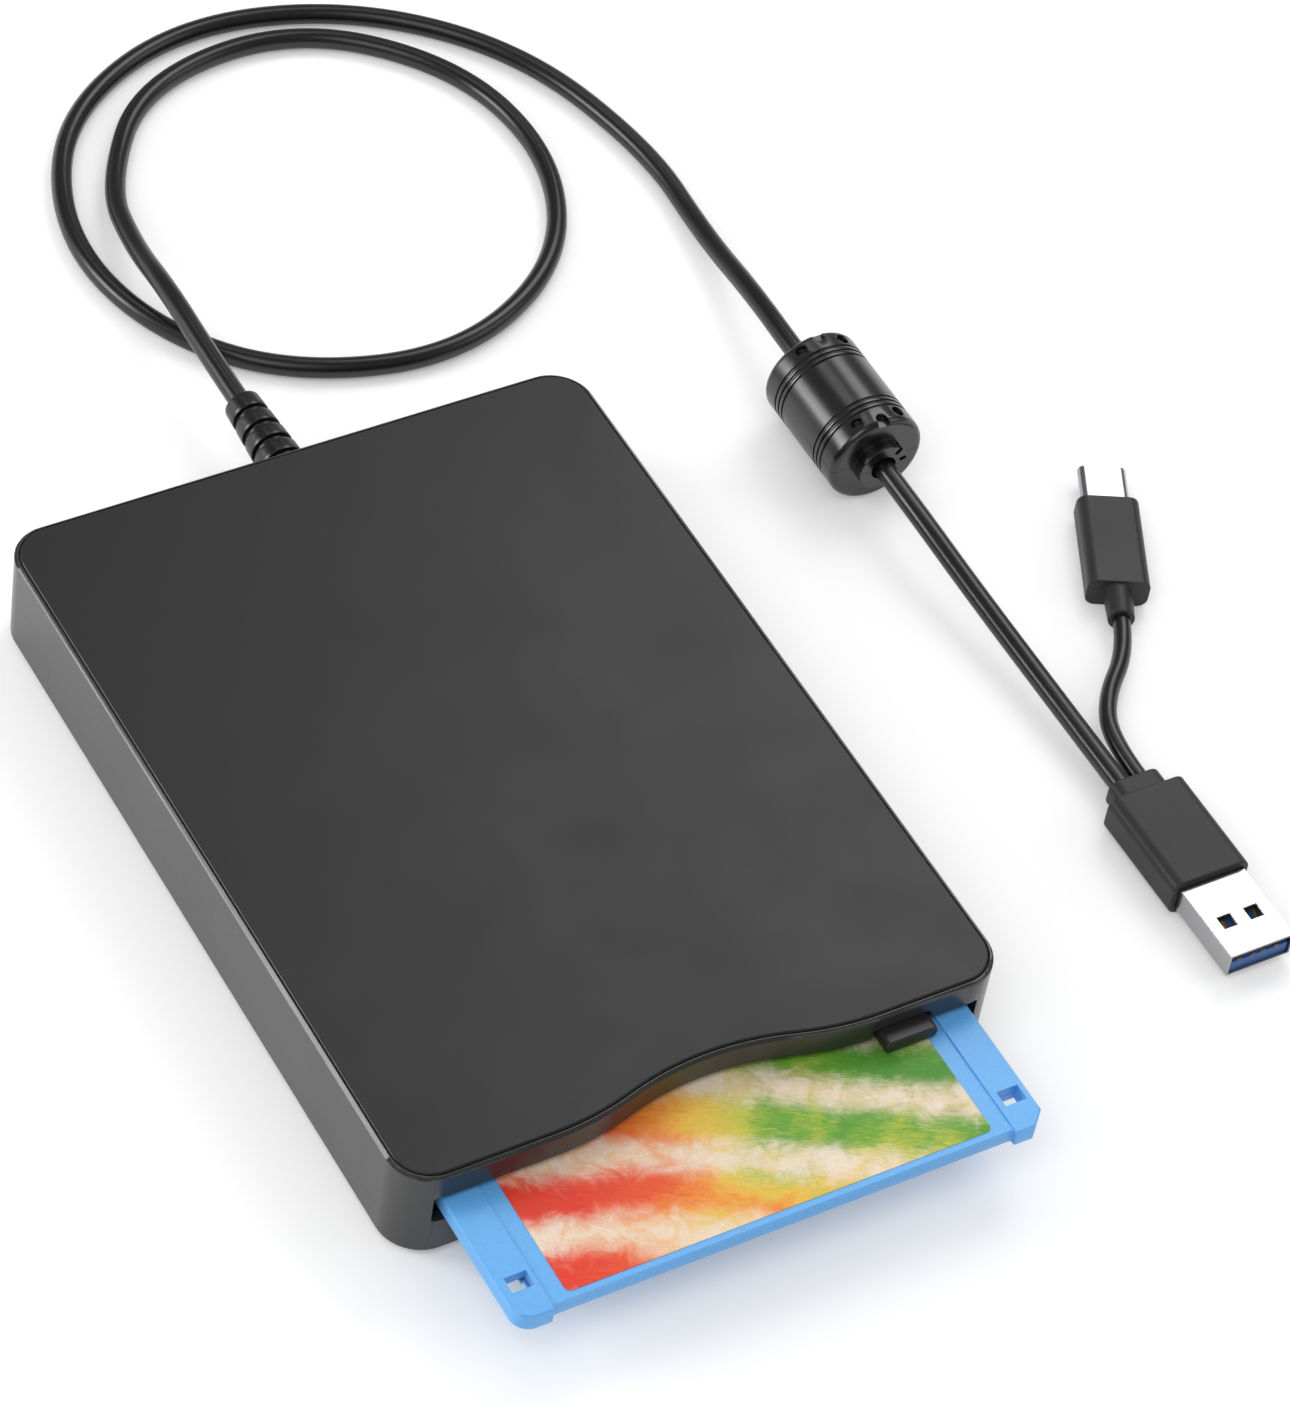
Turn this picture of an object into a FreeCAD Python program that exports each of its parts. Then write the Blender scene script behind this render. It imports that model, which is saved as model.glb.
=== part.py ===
import FreeCAD, Part
import math
import os

# External floppy disk drive with a 3.5 inch disk half way out of its slot, and its
# USB cord: a moulded core on the cord, a USB-A plug, and a USB-C plug on a short lead.
# Millimetres. X runs to the right, Y from the front to the back, Z up. The origin is
# the middle of the case's footprint, on the surface that the feet stand on.
# The drive is sized from the inside out: the holder fits the disk, the slide and the
# chassis go round the holder, and the case goes round the chassis.

Vector = FreeCAD.Vector

# Walls and covers of the case
CASE_CORNER = 7.0
WALL = 2.0
COVER_THICKNESS = 1.6
RIM_LIP = 0.7
COVER_GAP = 0.15
RIM_BEVEL = 0.5
COVER_BEVEL = 0.25
COVER_PROUD = 0.2
WAVE_DEPTH = 4.1
WAVE_HALF_WIDTH = 28.0
WAVE_CENTRE_X = 1.0
RIB_HEIGHT = 0.6
RIB_WIDTH = 1.0
RIB_INSET = 15.5
RIB_FRONT_INSET = 22.0
RIB_BACK_INSET = 12.0
CLIP_WIDTH = 8.0
CLIP_DROP = 2.0
CLIP_THICKNESS = 1.1
CLIP_Y = 30.0
CLIP_TO_CHASSIS = 0.75

# Feet and screws
FOOT_HEIGHT = 1.0
FOOT_RADIUS = 4.0
FOOT_SINK = 0.3
FOOT_INSET_X = 11.5
FOOT_INSET_Y = 10.0
CASE_SCREW_RADIUS = 0.9
CASE_SCREW_HEAD = 1.8
CASE_SCREW_END_ROOM = 0.3
CHASSIS_SCREW_RADIUS = 1.2
CHASSIS_SCREW_HEAD = 2.2
CHASSIS_SCREW_INSET_X = 7.5
CHASSIS_SCREW_INSET_Y = 12.8
SCREW_HEAD_HEIGHT = 1.0
SCREW_HEAD_SINK = 0.2
SCREW_CROSS_WIDTH = 0.4
SCREW_CROSS_DEPTH = 0.5
BOSS_RADIUS = 2.4
BOSS_INSET = 4.2
BOSS_TOP_WALL = 0.5
BOSS_UNDER_SLOT = 0.6
BOSS_TO_CHASSIS = 0.6
PAD_RADIUS = 4.0
PAD_HEIGHT = 0.4
HOLE_CLEARANCE = 0.05

# Disk
DISK_WIDTH = 90.0
DISK_THICKNESS = 3.3
DISK_OUT = 23.5
DISK_CORNER = 3.0
DISK_CHAMFER = 2.5
DISK_LEAD_CORNER = 0.8
DISK_EDGE_ROUND = 0.25
EAR_WIDTH = 5.8
EAR_LENGTH = 0.95
EAR_ROUND = 0.3
LABEL_RECESS = 0.3
LABEL_LENGTH = 53.0
LABEL_THICKNESS = 0.1
LABEL_CORNER = 1.0
LABEL_MARGIN = 1.1
LABEL_SIDE_MARGIN = 3.0
LABEL_LEAD_MARGIN = 1.95
LABEL_WIDTH = DISK_WIDTH - 2 * (EAR_WIDTH + LABEL_SIDE_MARGIN)
LABEL_RECESS_LENGTH = EAR_LENGTH + LABEL_MARGIN + LABEL_LENGTH + LABEL_LEAD_MARGIN
HOLE_WIDTH = 3.7
HOLE_LENGTH = 2.8
HOLE_FROM_EAR_END = 5.0
HOLE_FROM_LEFT = 1.4
HOLE_FROM_RIGHT = 1.0
TAB_THICKNESS = 0.9
TAB_MARGIN = 0.35
TAB_CLEARANCE = 0.15
TAB_SLIT_MARGIN = 1.0
TAB_GRIP_MARGIN = 1.3

# Inside the disk
MEDIA_THICKNESS = 0.1
MEDIA_SIDE_ROOM = 0.5
MEDIA_ROOM = 1.5
MEDIA_POCKET_WALL = 1.6
MEDIA_POCKET_TO_BACK = 5.6
MEDIA_RADIUS = DISK_WIDTH / 2 - MEDIA_POCKET_WALL - MEDIA_SIDE_ROOM
HUB_FROM_LEAD = MEDIA_RADIUS + MEDIA_SIDE_ROOM + MEDIA_POCKET_WALL
DISK_LENGTH = HUB_FROM_LEAD + MEDIA_RADIUS + MEDIA_SIDE_ROOM + MEDIA_POCKET_TO_BACK
HUB_RADIUS = 12.2
HUB_ROOM = 1.0
HUB_SEAT = 1.8
HUB_OPENING_RADIUS = HUB_RADIUS + HUB_ROOM
HUB_FLANGE_RADIUS = HUB_OPENING_RADIUS + HUB_SEAT
HUB_SHEET = 0.4
HUB_WALL = 0.8
HUB_RECESS = 0.2
HUB_SQUARE = 4.0
DRIVE_HOLE_LENGTH = 8.0
DRIVE_HOLE_WIDTH = 4.2
DRIVE_HOLE_OUTWARD = 1.2
DRIVE_PIN_CENTRE = 10.0
LINER_THICKNESS = 0.2
LINER_FROM_HUB = 1.0
LINER_INNER_RADIUS = HUB_FLANGE_RADIUS + LINER_FROM_HUB

# Heads over the disk, and the windows that they reach it through
HEAD_TRACK_TRAVEL = 14.8
HEAD_HALF = 2.3
HEAD_ROOM = 0.5
HEAD_FROM_MEDIA_EDGE = 3.4
HEAD_OUTER_RADIUS = MEDIA_RADIUS - HEAD_FROM_MEDIA_EDGE
HEAD_UNDER_DISK = 0.1
HEAD_OVER_DISK = 0.25
HEAD_BLOCK_HEIGHT = 1.25
WINDOW_WIDTH = 9.4
WINDOW_PAST_HEAD = 5.4
WINDOW_FROM_LEAD = HUB_FROM_LEAD - HEAD_OUTER_RADIUS - HEAD_HALF - HEAD_ROOM
WINDOW_LENGTH = HEAD_TRACK_TRAVEL + 2 * HEAD_HALF + HEAD_ROOM + WINDOW_PAST_HEAD

# Disk shutter
SHUTTER_SHEET = 0.25
SHUTTER_WIDTH = 46.0
SHUTTER_TRAVEL = 17.0
SHUTTER_WINDOW_WIDTH = 12.0
SHUTTER_LEFT_MARGIN = 6.0
SHUTTER_BACK_MARGIN = 3.0
SHUTTER_RECESS = 0.3
SHUTTER_GAP = 0.02
SHUTTER_END_ROOM = 0.3
SHUTTER_LENGTH = WINDOW_FROM_LEAD + WINDOW_LENGTH + SHUTTER_BACK_MARGIN
SHUTTER_WINDOW_LEFT = -SHUTTER_TRAVEL - SHUTTER_WINDOW_WIDTH / 2
SHUTTER_LEFT = SHUTTER_WINDOW_LEFT - SHUTTER_LEFT_MARGIN

# Slot and button
SLOT_SIDE_ROOM = 1.5
SLOT_ROOM_UNDER = 0.2
SLOT_ROOM_OVER = 0.9
SLOT_CORNER = 0.6
SLOT_PAST_WALL = 1.5
BUTTON_WIDTH = 9.2
BUTTON_HEIGHT = 2.3
BUTTON_FROM_DISK_EDGE = 12.2
BUTTON_CENTRE_X = DISK_WIDTH / 2 - BUTTON_FROM_DISK_EDGE
BUTTON_PROTRUDES = 3.0
BUTTON_INSIDE = 8.0
BUTTON_ROUND = 0.9
BUTTON_FRONT_ROUND = 0.35
BUTTON_OVER_DISK = 0.3
NOTCH_ROOM_SIDE = 0.5
NOTCH_ROOM_TOP = 0.3
NOTCH_PAST_WALL = 2.5
NOTCH_OVER_SLOT_BOTTOM = 1.0
EJECT_TRAVEL = 6.0
EJECT_OVERTRAVEL = 0.8

# Disk holder, eject slide and chassis, each round the one before
HOLDER_DROP = 1.2
HOLDER_PLAY = 0.2
HOLDER_SHEET = 0.5
HOLDER_FLANGE = 3.7
HOLDER_FRONT_INSET = 9.0
HOLDER_PAST_DISK = 2.5
HOLDER_WINDOW_HALF = 8.0
HOLDER_WINDOW_PAST_HEAD = 4.9
PIN_RADIUS = 0.6
PIN_ROOM = 0.15
PIN_BELOW_MIDDLE = 0.05
PIN_END_INSET = 0.2
PIN_FRONT_INSET = 16.0
PIN_BACK_INSET = 13.0
SIDE_GAP = 0.2
SLIDE_GAP = 0.9
SLIDE_SHEET = 0.6
SLIDE_FRONT_INSET = 13.0
SLIDE_BACK_INSET = 4.0
SLIDE_WALL_DROP = 4.9
SLIDE_WINDOW_MARGIN = 2.0
SLIDE_WINDOW_LEAD = 4.0
SLIDE_WINDOW_HALF = HOLDER_WINDOW_HALF + SLIDE_WINDOW_MARGIN
SLIDE_HOLE_RADIUS = 6.0
SLIDE_HOLE_FROM_SPINDLE = 12.0
TONGUE_WIDTH = 6.0
TONGUE_INTO_BUTTON = 3.0
SPRING_RADIUS = 1.2
SPRING_BORE = 0.8
SPRING_X = 23.0
SPRING_LENGTH = 22.0
SPRING_POST_WIDTH = 3.0
SPRING_POST_DEPTH = 1.5
CHASSIS_SHEET = 0.8
CHASSIS_WALL_OVER_SLIDE = 0.8
CHASSIS_WALL_PAST_HOLDER = 17.0
ROOM_UNDER_COVER = 2.0
MOTOR_HEIGHT = 4.3
HUB_GAP = 0.1
LOADED_BEHIND_FRONT = 1.5
HOLDER_INNER = DISK_WIDTH / 2 + HOLDER_PLAY
HOLDER_OUTER = HOLDER_INNER + HOLDER_SHEET
SLIDE_INNER = HOLDER_OUTER + SIDE_GAP
SLIDE_OUTER = SLIDE_INNER + SLIDE_SHEET
CHASSIS_INNER = SLIDE_OUTER + SIDE_GAP
CHASSIS_WIDTH = 2 * (CHASSIS_INNER + CHASSIS_SHEET)
CHASSIS_TO_WALL = COVER_GAP + CLIP_THICKNESS + CLIP_TO_CHASSIS
CASE_WIDTH = CHASSIS_WIDTH + 2 * (CHASSIS_TO_WALL + WALL)
RIB_X = CASE_WIDTH / 2 - RIB_INSET

# Shutter lever on the holder
LEVER_FROM_DISK_EDGE = 5.0
LEVER_FROM_HOLDER_BACK = 12.0
LEVER_PIVOT_X = DISK_WIDTH / 2 - LEVER_FROM_DISK_EDGE
LEVER_TO_WINDOW = 4.0
LEVER_LENGTH = LEVER_PIVOT_X - HOLDER_WINDOW_HALF - LEVER_TO_WINDOW
LEVER_THICKNESS = 0.5
LEVER_WIDTH = 4.0
LEVER_PIVOT_RADIUS = 1.0
LEVER_REST_ANGLE = 208.0
LEVER_SWING = 44.0
LEVER_TRACK_ROOM = 0.5
LEVER_TRACK_END = 3.0
LEVER_TIP_RADIUS = 0.9
LEVER_TIP_GAP = 0.1
LEVER_LIFT = 0.05

# Spindle motor
ROTOR_RADIUS = 21.0
ROTOR_SHEET = 0.7
ROTOR_SKIRT = 2.6
MAGNET_THICKNESS = 1.5
MAGNET_HEIGHT = 2.0
MAGNET_TO_STATOR = 1.8
STATOR_RADIUS = ROTOR_RADIUS - ROTOR_SHEET - MAGNET_THICKNESS - MAGNET_TO_STATOR
STATOR_BASE = 0.6
COIL_COUNT = 9
COIL_INSET = 4.0
COIL_CENTRE = STATOR_RADIUS - COIL_INSET
COIL_SIZE = (4.0, 5.0, 1.5)
BEARING_RADIUS = 3.0
BEARING_TOP_ROOM = 0.7
SHAFT_RADIUS = 1.5
SHAFT_LIFT = 0.1
RUNNING_CLEARANCE = 0.05
TURNTABLE_MARGIN = 0.8
TURNTABLE_STEP = 0.4
TURNTABLE_RADIUS = HUB_RADIUS + TURNTABLE_MARGIN
DRIVE_PIN_RADIUS = 1.0

# Head carriage
CARRIAGE_HALF_WIDTH = 13.5
CARRIAGE_RIGHT_HALF = 10.0
CARRIAGE_NOSE = 4.0
CARRIAGE_STEP = 3.0
CARRIAGE_PAST_EARS = 1.2
CARRIAGE_LIFT = 1.4
CARRIAGE_HEIGHT = 2.2
ARM_HALF_WIDTH = 5.0
ARM_THICKNESS = 1.0
ARM_LENGTH = 30.0
ARM_END = 1.2
ARM_OPENING_HALF = 2.0
ARM_OPENING_INSET = 6.0
ARM_BARREL_WALL = 0.5
ARM_PIN_RADIUS = 0.8
EAR_THICKNESS = 2.4
EAR_DEPTH = 4.0
EAR_GAP = 0.6
EAR_TOP = 0.4
CARRIAGE_LENGTH = HEAD_HALF + HEAD_ROOM + ARM_LENGTH + EAR_DEPTH / 2 + CARRIAGE_PAST_EARS
LOWER_HEAD_BEVEL = 0.4
UPPER_HEAD_BEVEL = 0.3
ROD_RADIUS = 1.5
ROD_FROM_CARRIAGE = 3.5
ROD_X = -(CARRIAGE_HALF_WIDTH + ROD_FROM_CARRIAGE)
ROD_LIFT = 2.4
ROD_BACK_INSET = 4.8
ROD_CLIP_LENGTH = 3.0
ROD_CLIP_HALF = 2.2
ROD_CLIP_TOP = 0.3
BUSH_LENGTH = 16.0
BUSH_HALF = 3.3
BUSH_UNDER = 0.5
BUSH_OVER = 0.3
BUSH_START = 4.0
BUSH_END_ROOM = 2.2
SCREW_AXIS_X = 17.0
SCREW_AXIS_LIFT = 4.8
LEAD_SCREW_RADIUS = 1.5
LEAD_SCREW_INTO_MOTOR = 2.0
LEAD_SCREW_END_ROOM = 0.5
FOLLOWER_GAP = 0.1
FOLLOWER_LENGTH = 3.0
FOLLOWER_FROM_HEAD = 25.0
STEPPER_GAP = 3.5
STEPPER_LENGTH = 10.0
STEPPER_RADIUS = 4.6
STEPPER_SADDLE_SHARE = 0.6
SENSOR_SIZE = (5.0, 4.0, 4.0)

# Depth of the drive: the disk loaded, then the carriage at its outermost track, its
# screw's motor, and the room that the corner bosses take
CHASSIS_PAST_MOTOR = 2.8
CHASSIS_END_ROOM = BOSS_INSET + BOSS_RADIUS + BOSS_TO_CHASSIS - WALL
SPINDLE_FROM_FRONT = DISK_LENGTH - HUB_FROM_LEAD + LOADED_BEHIND_FRONT
STEPPER_FROM_SPINDLE = HEAD_OUTER_RADIUS + FOLLOWER_FROM_HEAD + FOLLOWER_LENGTH / 2 + STEPPER_GAP
CASE_DEPTH = (SPINDLE_FROM_FRONT + STEPPER_FROM_SPINDLE + STEPPER_LENGTH
              + CHASSIS_PAST_MOTOR + CHASSIS_END_ROOM + WALL)
CHASSIS_DEPTH = CASE_DEPTH - 2 * (CHASSIS_END_ROOM + WALL)

# Boards
BOARD_THICKNESS = 1.0
BOARD_FROM_CHASSIS_SIDE = 2.5
BOARD_FROM_BUSH = 4.2
BOARD_FROM_HOLDER = 2.0
BOARD_FROM_CHASSIS_BACK = 1.8
BOARD_LEFT_X = -(CHASSIS_WIDTH / 2 - BOARD_FROM_CHASSIS_SIDE)
BOARD_RIGHT_X = ROD_X - BUSH_HALF - BOARD_FROM_BUSH
BOARD_CENTRE_X = (BOARD_LEFT_X + BOARD_RIGHT_X) / 2
BOARD_SPACING = 6.2
SPACER_RADIUS = 1.3
SPACER_INSET = 2.5
CHIP_HEIGHT = 1.2
CONTROLLER_SIZE = (9.0, 9.0)
CONTROLLER_PLACE = (-2.75, 18.0)
DRIVER_SIZE = (5.0, 4.0)
DRIVER_PLACE = (2.25, 7.5)
REGULATOR_SIZE = (3.5, 4.5)
REGULATOR_INSET = (4.5, 7.0)
CONVERTER_SIZE = (7.0, 7.0)
CONVERTER_INSET = 13.5
CRYSTAL_SIZE = (2.5, 4.0)
CRYSTAL_INSET = 5.0
CONVERTER_FROM_FRONT = 12.0
FLAT_CABLE_WIDTH = 10.0
FLAT_CABLE_OFFSET = -5.25
FLAT_CABLE_END_ROOM = 0.3
FLAT_CABLE_THICKNESS = 0.25
LEAD_SOCKET = (4.5, 4.5, 2.5)
INNER_LEAD_RADIUS = 0.9
INNER_LEAD_STRAIGHT = 4.5
INNER_LEAD_SIDESTEP = 8.0
INNER_LEAD_TO_SOCKET = 7.0

# Strain relief and cords
CORD_DIAMETER = 3.6
RELIEF_X = 1.2
RELIEF_LENGTH = 19.5
RELIEF_TIP_WALL = 1.3
RELIEF_TAPER = 1.15
RELIEF_TIP_RADIUS = CORD_DIAMETER / 2 + RELIEF_TIP_WALL
RELIEF_ROOT_RADIUS = RELIEF_TIP_RADIUS + RELIEF_TAPER
RELIEF_NECK_RADIUS = 2.9
RELIEF_FLANGE_RADIUS = 4.2
RELIEF_FLANGE = 1.4
RELIEF_GROOVES = 4
RELIEF_GROOVE_WIDTH = 1.1
RELIEF_GROOVE_DEPTH = 0.8
PIGTAIL_DIAMETER = 3.0

# Moulded core on the cord
CORE_X = 93.9
CORE_CENTRE_Y = 50.35
CORE_LENGTH = 27.0
CORE_DIAMETER = 17.5
CORE_WALL = 1.4
CORE_END_WALL = 2.0
CORE_CORD_ROOM = 0.5
CORE_BORE_RADIUS = CORD_DIAMETER / 2 + CORE_CORD_ROOM
CORE_ROUND = 1.2
CORE_COLLAR_RADIUS = 4.5
CORE_COLLAR = 2.0
COLLAR_SLOT_ANGLES = (40.0, 75.0)
COLLAR_SLOT_WIDTH = 0.8
COLLAR_SLOT_DEPTH = 1.4
CORE_GROOVES = 3
CORE_GROOVE_PITCH = 1.1
CORE_GROOVE_WIDTH = 0.4
CORE_GROOVE_DEPTH = 0.3
CORE_GROOVE_START = 3.8
CORE_HOLE_RADIUS = 1.1
CORE_HOLE_DEPTH = 1.0
CORE_HOLE_ANGLE = 27.0
CORE_HOLE_FROM_END = 2.35
CORE_NOTCH_HALF = 1.0
CORE_NOTCH_DEPTH = 1.0
CORE_NOTCH_LENGTH = 1.2
FERRITE_CLEARANCE = 0.1

# USB-A plug
A_X = 98.2
A_LENGTH = 19.6
A_BACK_Y = -39.3
A_ROUND = 2.0
A_SHELL_WIDTH = 12.0
A_SHELL_HEIGHT = 4.5
A_SHELL_LENGTH = 15.0
A_SHELL_SHEET = 0.3
A_SHELL_SEAT = 3.0
A_SIDE_WALL = 1.2
A_TOP_WALL = 1.35
A_WIDTH = A_SHELL_WIDTH + 2 * A_SIDE_WALL
A_HEIGHT = A_SHELL_HEIGHT + 2 * A_TOP_WALL
NECK_LENGTH = 3.5
NECK_INSET_SIDE = 2.4
NECK_INSET_TOP = 0.8
NECK_WIDTH = A_WIDTH - 2 * NECK_INSET_SIDE
NECK_HEIGHT = A_HEIGHT - 2 * NECK_INSET_TOP
A_WINDOW = 2.4
A_WINDOW_SPACING = 5.0
A_WINDOW_FROM_TIP = 6.6
A_TONGUE_PLAY = 0.15
A_TONGUE_WIDTH = A_SHELL_WIDTH - 2 * (A_SHELL_SHEET + A_TONGUE_PLAY)
A_TONGUE_HEIGHT = 1.9
A_TONGUE_SETBACK = 0.6
A_CORD_LEFT = 1.6
A_PIGTAIL_RIGHT = 2.1
A_CORD_X = A_X - A_CORD_LEFT
A_PIGTAIL_X = A_X + A_PIGTAIL_RIGHT

# USB-C plug
C_ANGLE = 63.5
C_ROOT_X = 119.3
C_ROOT_Y = 1.4
C_LENGTH = 19.6
C_ROUND = 1.8
C_SHELL_WIDTH = 8.25
C_SHELL_HEIGHT = 2.4
C_SHELL_LENGTH = 8.5
C_SHELL_SHEET = 0.25
C_SHELL_SEAT = 2.0
C_SHELL_FLAT = 0.02
C_SIDE_WALL = 1.175
C_TOP_WALL = 1.7
C_WIDTH = C_SHELL_WIDTH + 2 * C_SIDE_WALL
C_HEIGHT = C_SHELL_HEIGHT + 2 * C_TOP_WALL
C_TONGUE_HEIGHT = 0.7
C_TONGUE_SIDE_WALL = 0.825
C_TONGUE_WIDTH = C_SHELL_WIDTH - 2 * C_TONGUE_SIDE_WALL
C_TONGUE_SETBACK = 1.0
SLEEVE_WALL = 0.75
SLEEVE_RADIUS = PIGTAIL_DIAMETER / 2 + SLEEVE_WALL
SLEEVE_FLARE = 0.3
SLEEVE_LENGTH = 6.0
PIGTAIL_LAST_RUN = 7.0

# Levels, stacked from the feet up
CASE_BOTTOM = FOOT_HEIGHT
FLOOR_TOP = CASE_BOTTOM + COVER_THICKNESS
CHASSIS_UNDER = FLOOR_TOP + PAD_HEIGHT
CHASSIS_FLOOR = CHASSIS_UNDER + CHASSIS_SHEET
SPINDLE_TOP = CHASSIS_FLOOR + MOTOR_HEIGHT
DISK_LOW = SPINDLE_TOP + HUB_GAP
DISK_UNDER = DISK_LOW + HOLDER_DROP
DISK_TOP = DISK_UNDER + DISK_THICKNESS
DISK_MIDDLE = DISK_UNDER + DISK_THICKNESS / 2
HOLDER_UNDER = DISK_TOP + HOLDER_PLAY
HOLDER_TOP = HOLDER_UNDER + HOLDER_SHEET
SLIDE_UNDER = HOLDER_TOP + SLIDE_GAP
SLIDE_TOP = SLIDE_UNDER + SLIDE_SHEET
CHASSIS_WALL_HEIGHT = SLIDE_TOP + CHASSIS_WALL_OVER_SLIDE - CHASSIS_UNDER
CHASSIS_WALL_TOP = CHASSIS_UNDER + CHASSIS_WALL_HEIGHT
COVER_UNDER = SLIDE_TOP + ROOM_UNDER_COVER
CASE_TOP = COVER_UNDER + COVER_THICKNESS
CASE_HEIGHT = CASE_TOP - CASE_BOTTOM
RIM_TOP = CASE_TOP - COVER_PROUD
SLOT_BOTTOM = DISK_LOW - SLOT_ROOM_UNDER
SLOT_TOP = DISK_TOP + SLOT_ROOM_OVER
SLOT_HALF = DISK_WIDTH / 2 + SLOT_SIDE_ROOM
BUTTON_UNDER = DISK_TOP + BUTTON_OVER_DISK
BUTTON_TOP = BUTTON_UNDER + BUTTON_HEIGHT
BOSS_TOP = SLOT_BOTTOM - BOSS_UNDER_SLOT
PIN_HEIGHT = DISK_MIDDLE - PIN_BELOW_MIDDLE
CARRIAGE_UNDER = CHASSIS_FLOOR + CARRIAGE_LIFT
CARRIAGE_TOP = CARRIAGE_UNDER + CARRIAGE_HEIGHT
LOWER_HEAD_TOP = DISK_UNDER - HEAD_UNDER_DISK
UPPER_HEAD_UNDER = DISK_TOP + HEAD_OVER_DISK
ARM_UNDER = UPPER_HEAD_UNDER + HEAD_BLOCK_HEIGHT
ARM_TOP = ARM_UNDER + ARM_THICKNESS
ARM_PIVOT_Z = ARM_UNDER + ARM_THICKNESS / 2
ROD_Z = CHASSIS_FLOOR + ROD_LIFT
SCREW_Z = CHASSIS_FLOOR + SCREW_AXIS_LIFT
UPPER_BOARD = CHASSIS_FLOOR + BOARD_THICKNESS + BOARD_SPACING
RELIEF_HEIGHT = CASE_BOTTOM + CASE_HEIGHT / 2
CORE_Z = CORE_DIAMETER / 2
A_CORD_Z = A_HEIGHT / 2
C_CORD_Z = C_HEIGHT / 2
CORD_FLOOR = CORD_DIAMETER / 2

# Places from front to back
FRONT = -CASE_DEPTH / 2
BACK = CASE_DEPTH / 2
SPINDLE_Y = FRONT + SPINDLE_FROM_FRONT
DISK_BACK = FRONT - DISK_OUT
DISK_LEAD = DISK_BACK + DISK_LENGTH
HUB_Y = DISK_LEAD - HUB_FROM_LEAD
DISK_LOAD_TRAVEL = SPINDLE_Y - HUB_Y
CHASSIS_FRONT = -CHASSIS_DEPTH / 2
CHASSIS_BACK = CHASSIS_DEPTH / 2
HEAD_Y = SPINDLE_Y + HEAD_OUTER_RADIUS
HOLDER_FRONT = FRONT + HOLDER_FRONT_INSET
HOLDER_BACK_Y = SPINDLE_Y + HUB_FROM_LEAD + HOLDER_PAST_DISK
HOLDER_WINDOW_Y = HEAD_Y - HEAD_TRACK_TRAVEL - HEAD_HALF - HOLDER_WINDOW_PAST_HEAD
PIN_PLACES_Y = (HOLDER_FRONT + PIN_FRONT_INSET, HOLDER_BACK_Y - PIN_BACK_INSET)
SLIDE_FRONT_Y = FRONT + SLIDE_FRONT_INSET
SLIDE_BACK_Y = HOLDER_BACK_Y - SLIDE_BACK_INSET
SLIDE_WINDOW_Y = HOLDER_WINDOW_Y - SLIDE_WINDOW_LEAD
SPRING_BACK_Y = SLIDE_BACK_Y + SPRING_LENGTH
CHASSIS_WALL_END = HOLDER_BACK_Y + CHASSIS_WALL_PAST_HOLDER
LEVER_PIVOT_Y = HOLDER_BACK_Y - LEVER_FROM_HOLDER_BACK
ARM_PIVOT_Y = HEAD_Y + ARM_LENGTH
ROD_FRONT_Y = HEAD_Y + BUSH_START - HEAD_TRACK_TRAVEL - BUSH_END_ROOM - ROD_CLIP_LENGTH
ROD_BACK_Y = CHASSIS_BACK - ROD_BACK_INSET
LEAD_SCREW_FRONT_Y = HEAD_Y + FOLLOWER_FROM_HEAD - HEAD_TRACK_TRAVEL - FOLLOWER_LENGTH / 2
STEPPER_FRONT_Y = SPINDLE_Y + STEPPER_FROM_SPINDLE
BOARD_FRONT_Y = HOLDER_BACK_Y + BOARD_FROM_HOLDER
BOARD_BACK_Y = CHASSIS_BACK - BOARD_FROM_CHASSIS_BACK
CORE_FRONT_Y = CORE_CENTRE_Y - CORE_LENGTH / 2 + CORE_COLLAR
CORE_BACK_Y = CORE_CENTRE_Y + CORE_LENGTH / 2 - CORE_COLLAR
A_NECK_BACK = A_BACK_Y + NECK_LENGTH
A_FRONT_Y = A_BACK_Y - A_LENGTH
C_DIRECTION = Vector(math.cos(math.radians(C_ANGLE)), math.sin(math.radians(C_ANGLE)), 0)
C_ROOT = Vector(C_ROOT_X, C_ROOT_Y, C_CORD_Z)
SLEEVE_END = C_ROOT - C_DIRECTION * SLEEVE_LENGTH

# Places of screws, bosses and feet
CHASSIS_SCREW_X = CHASSIS_WIDTH / 2 - CHASSIS_SCREW_INSET_X
CHASSIS_SCREW_Y = CHASSIS_DEPTH / 2 - CHASSIS_SCREW_INSET_Y

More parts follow.
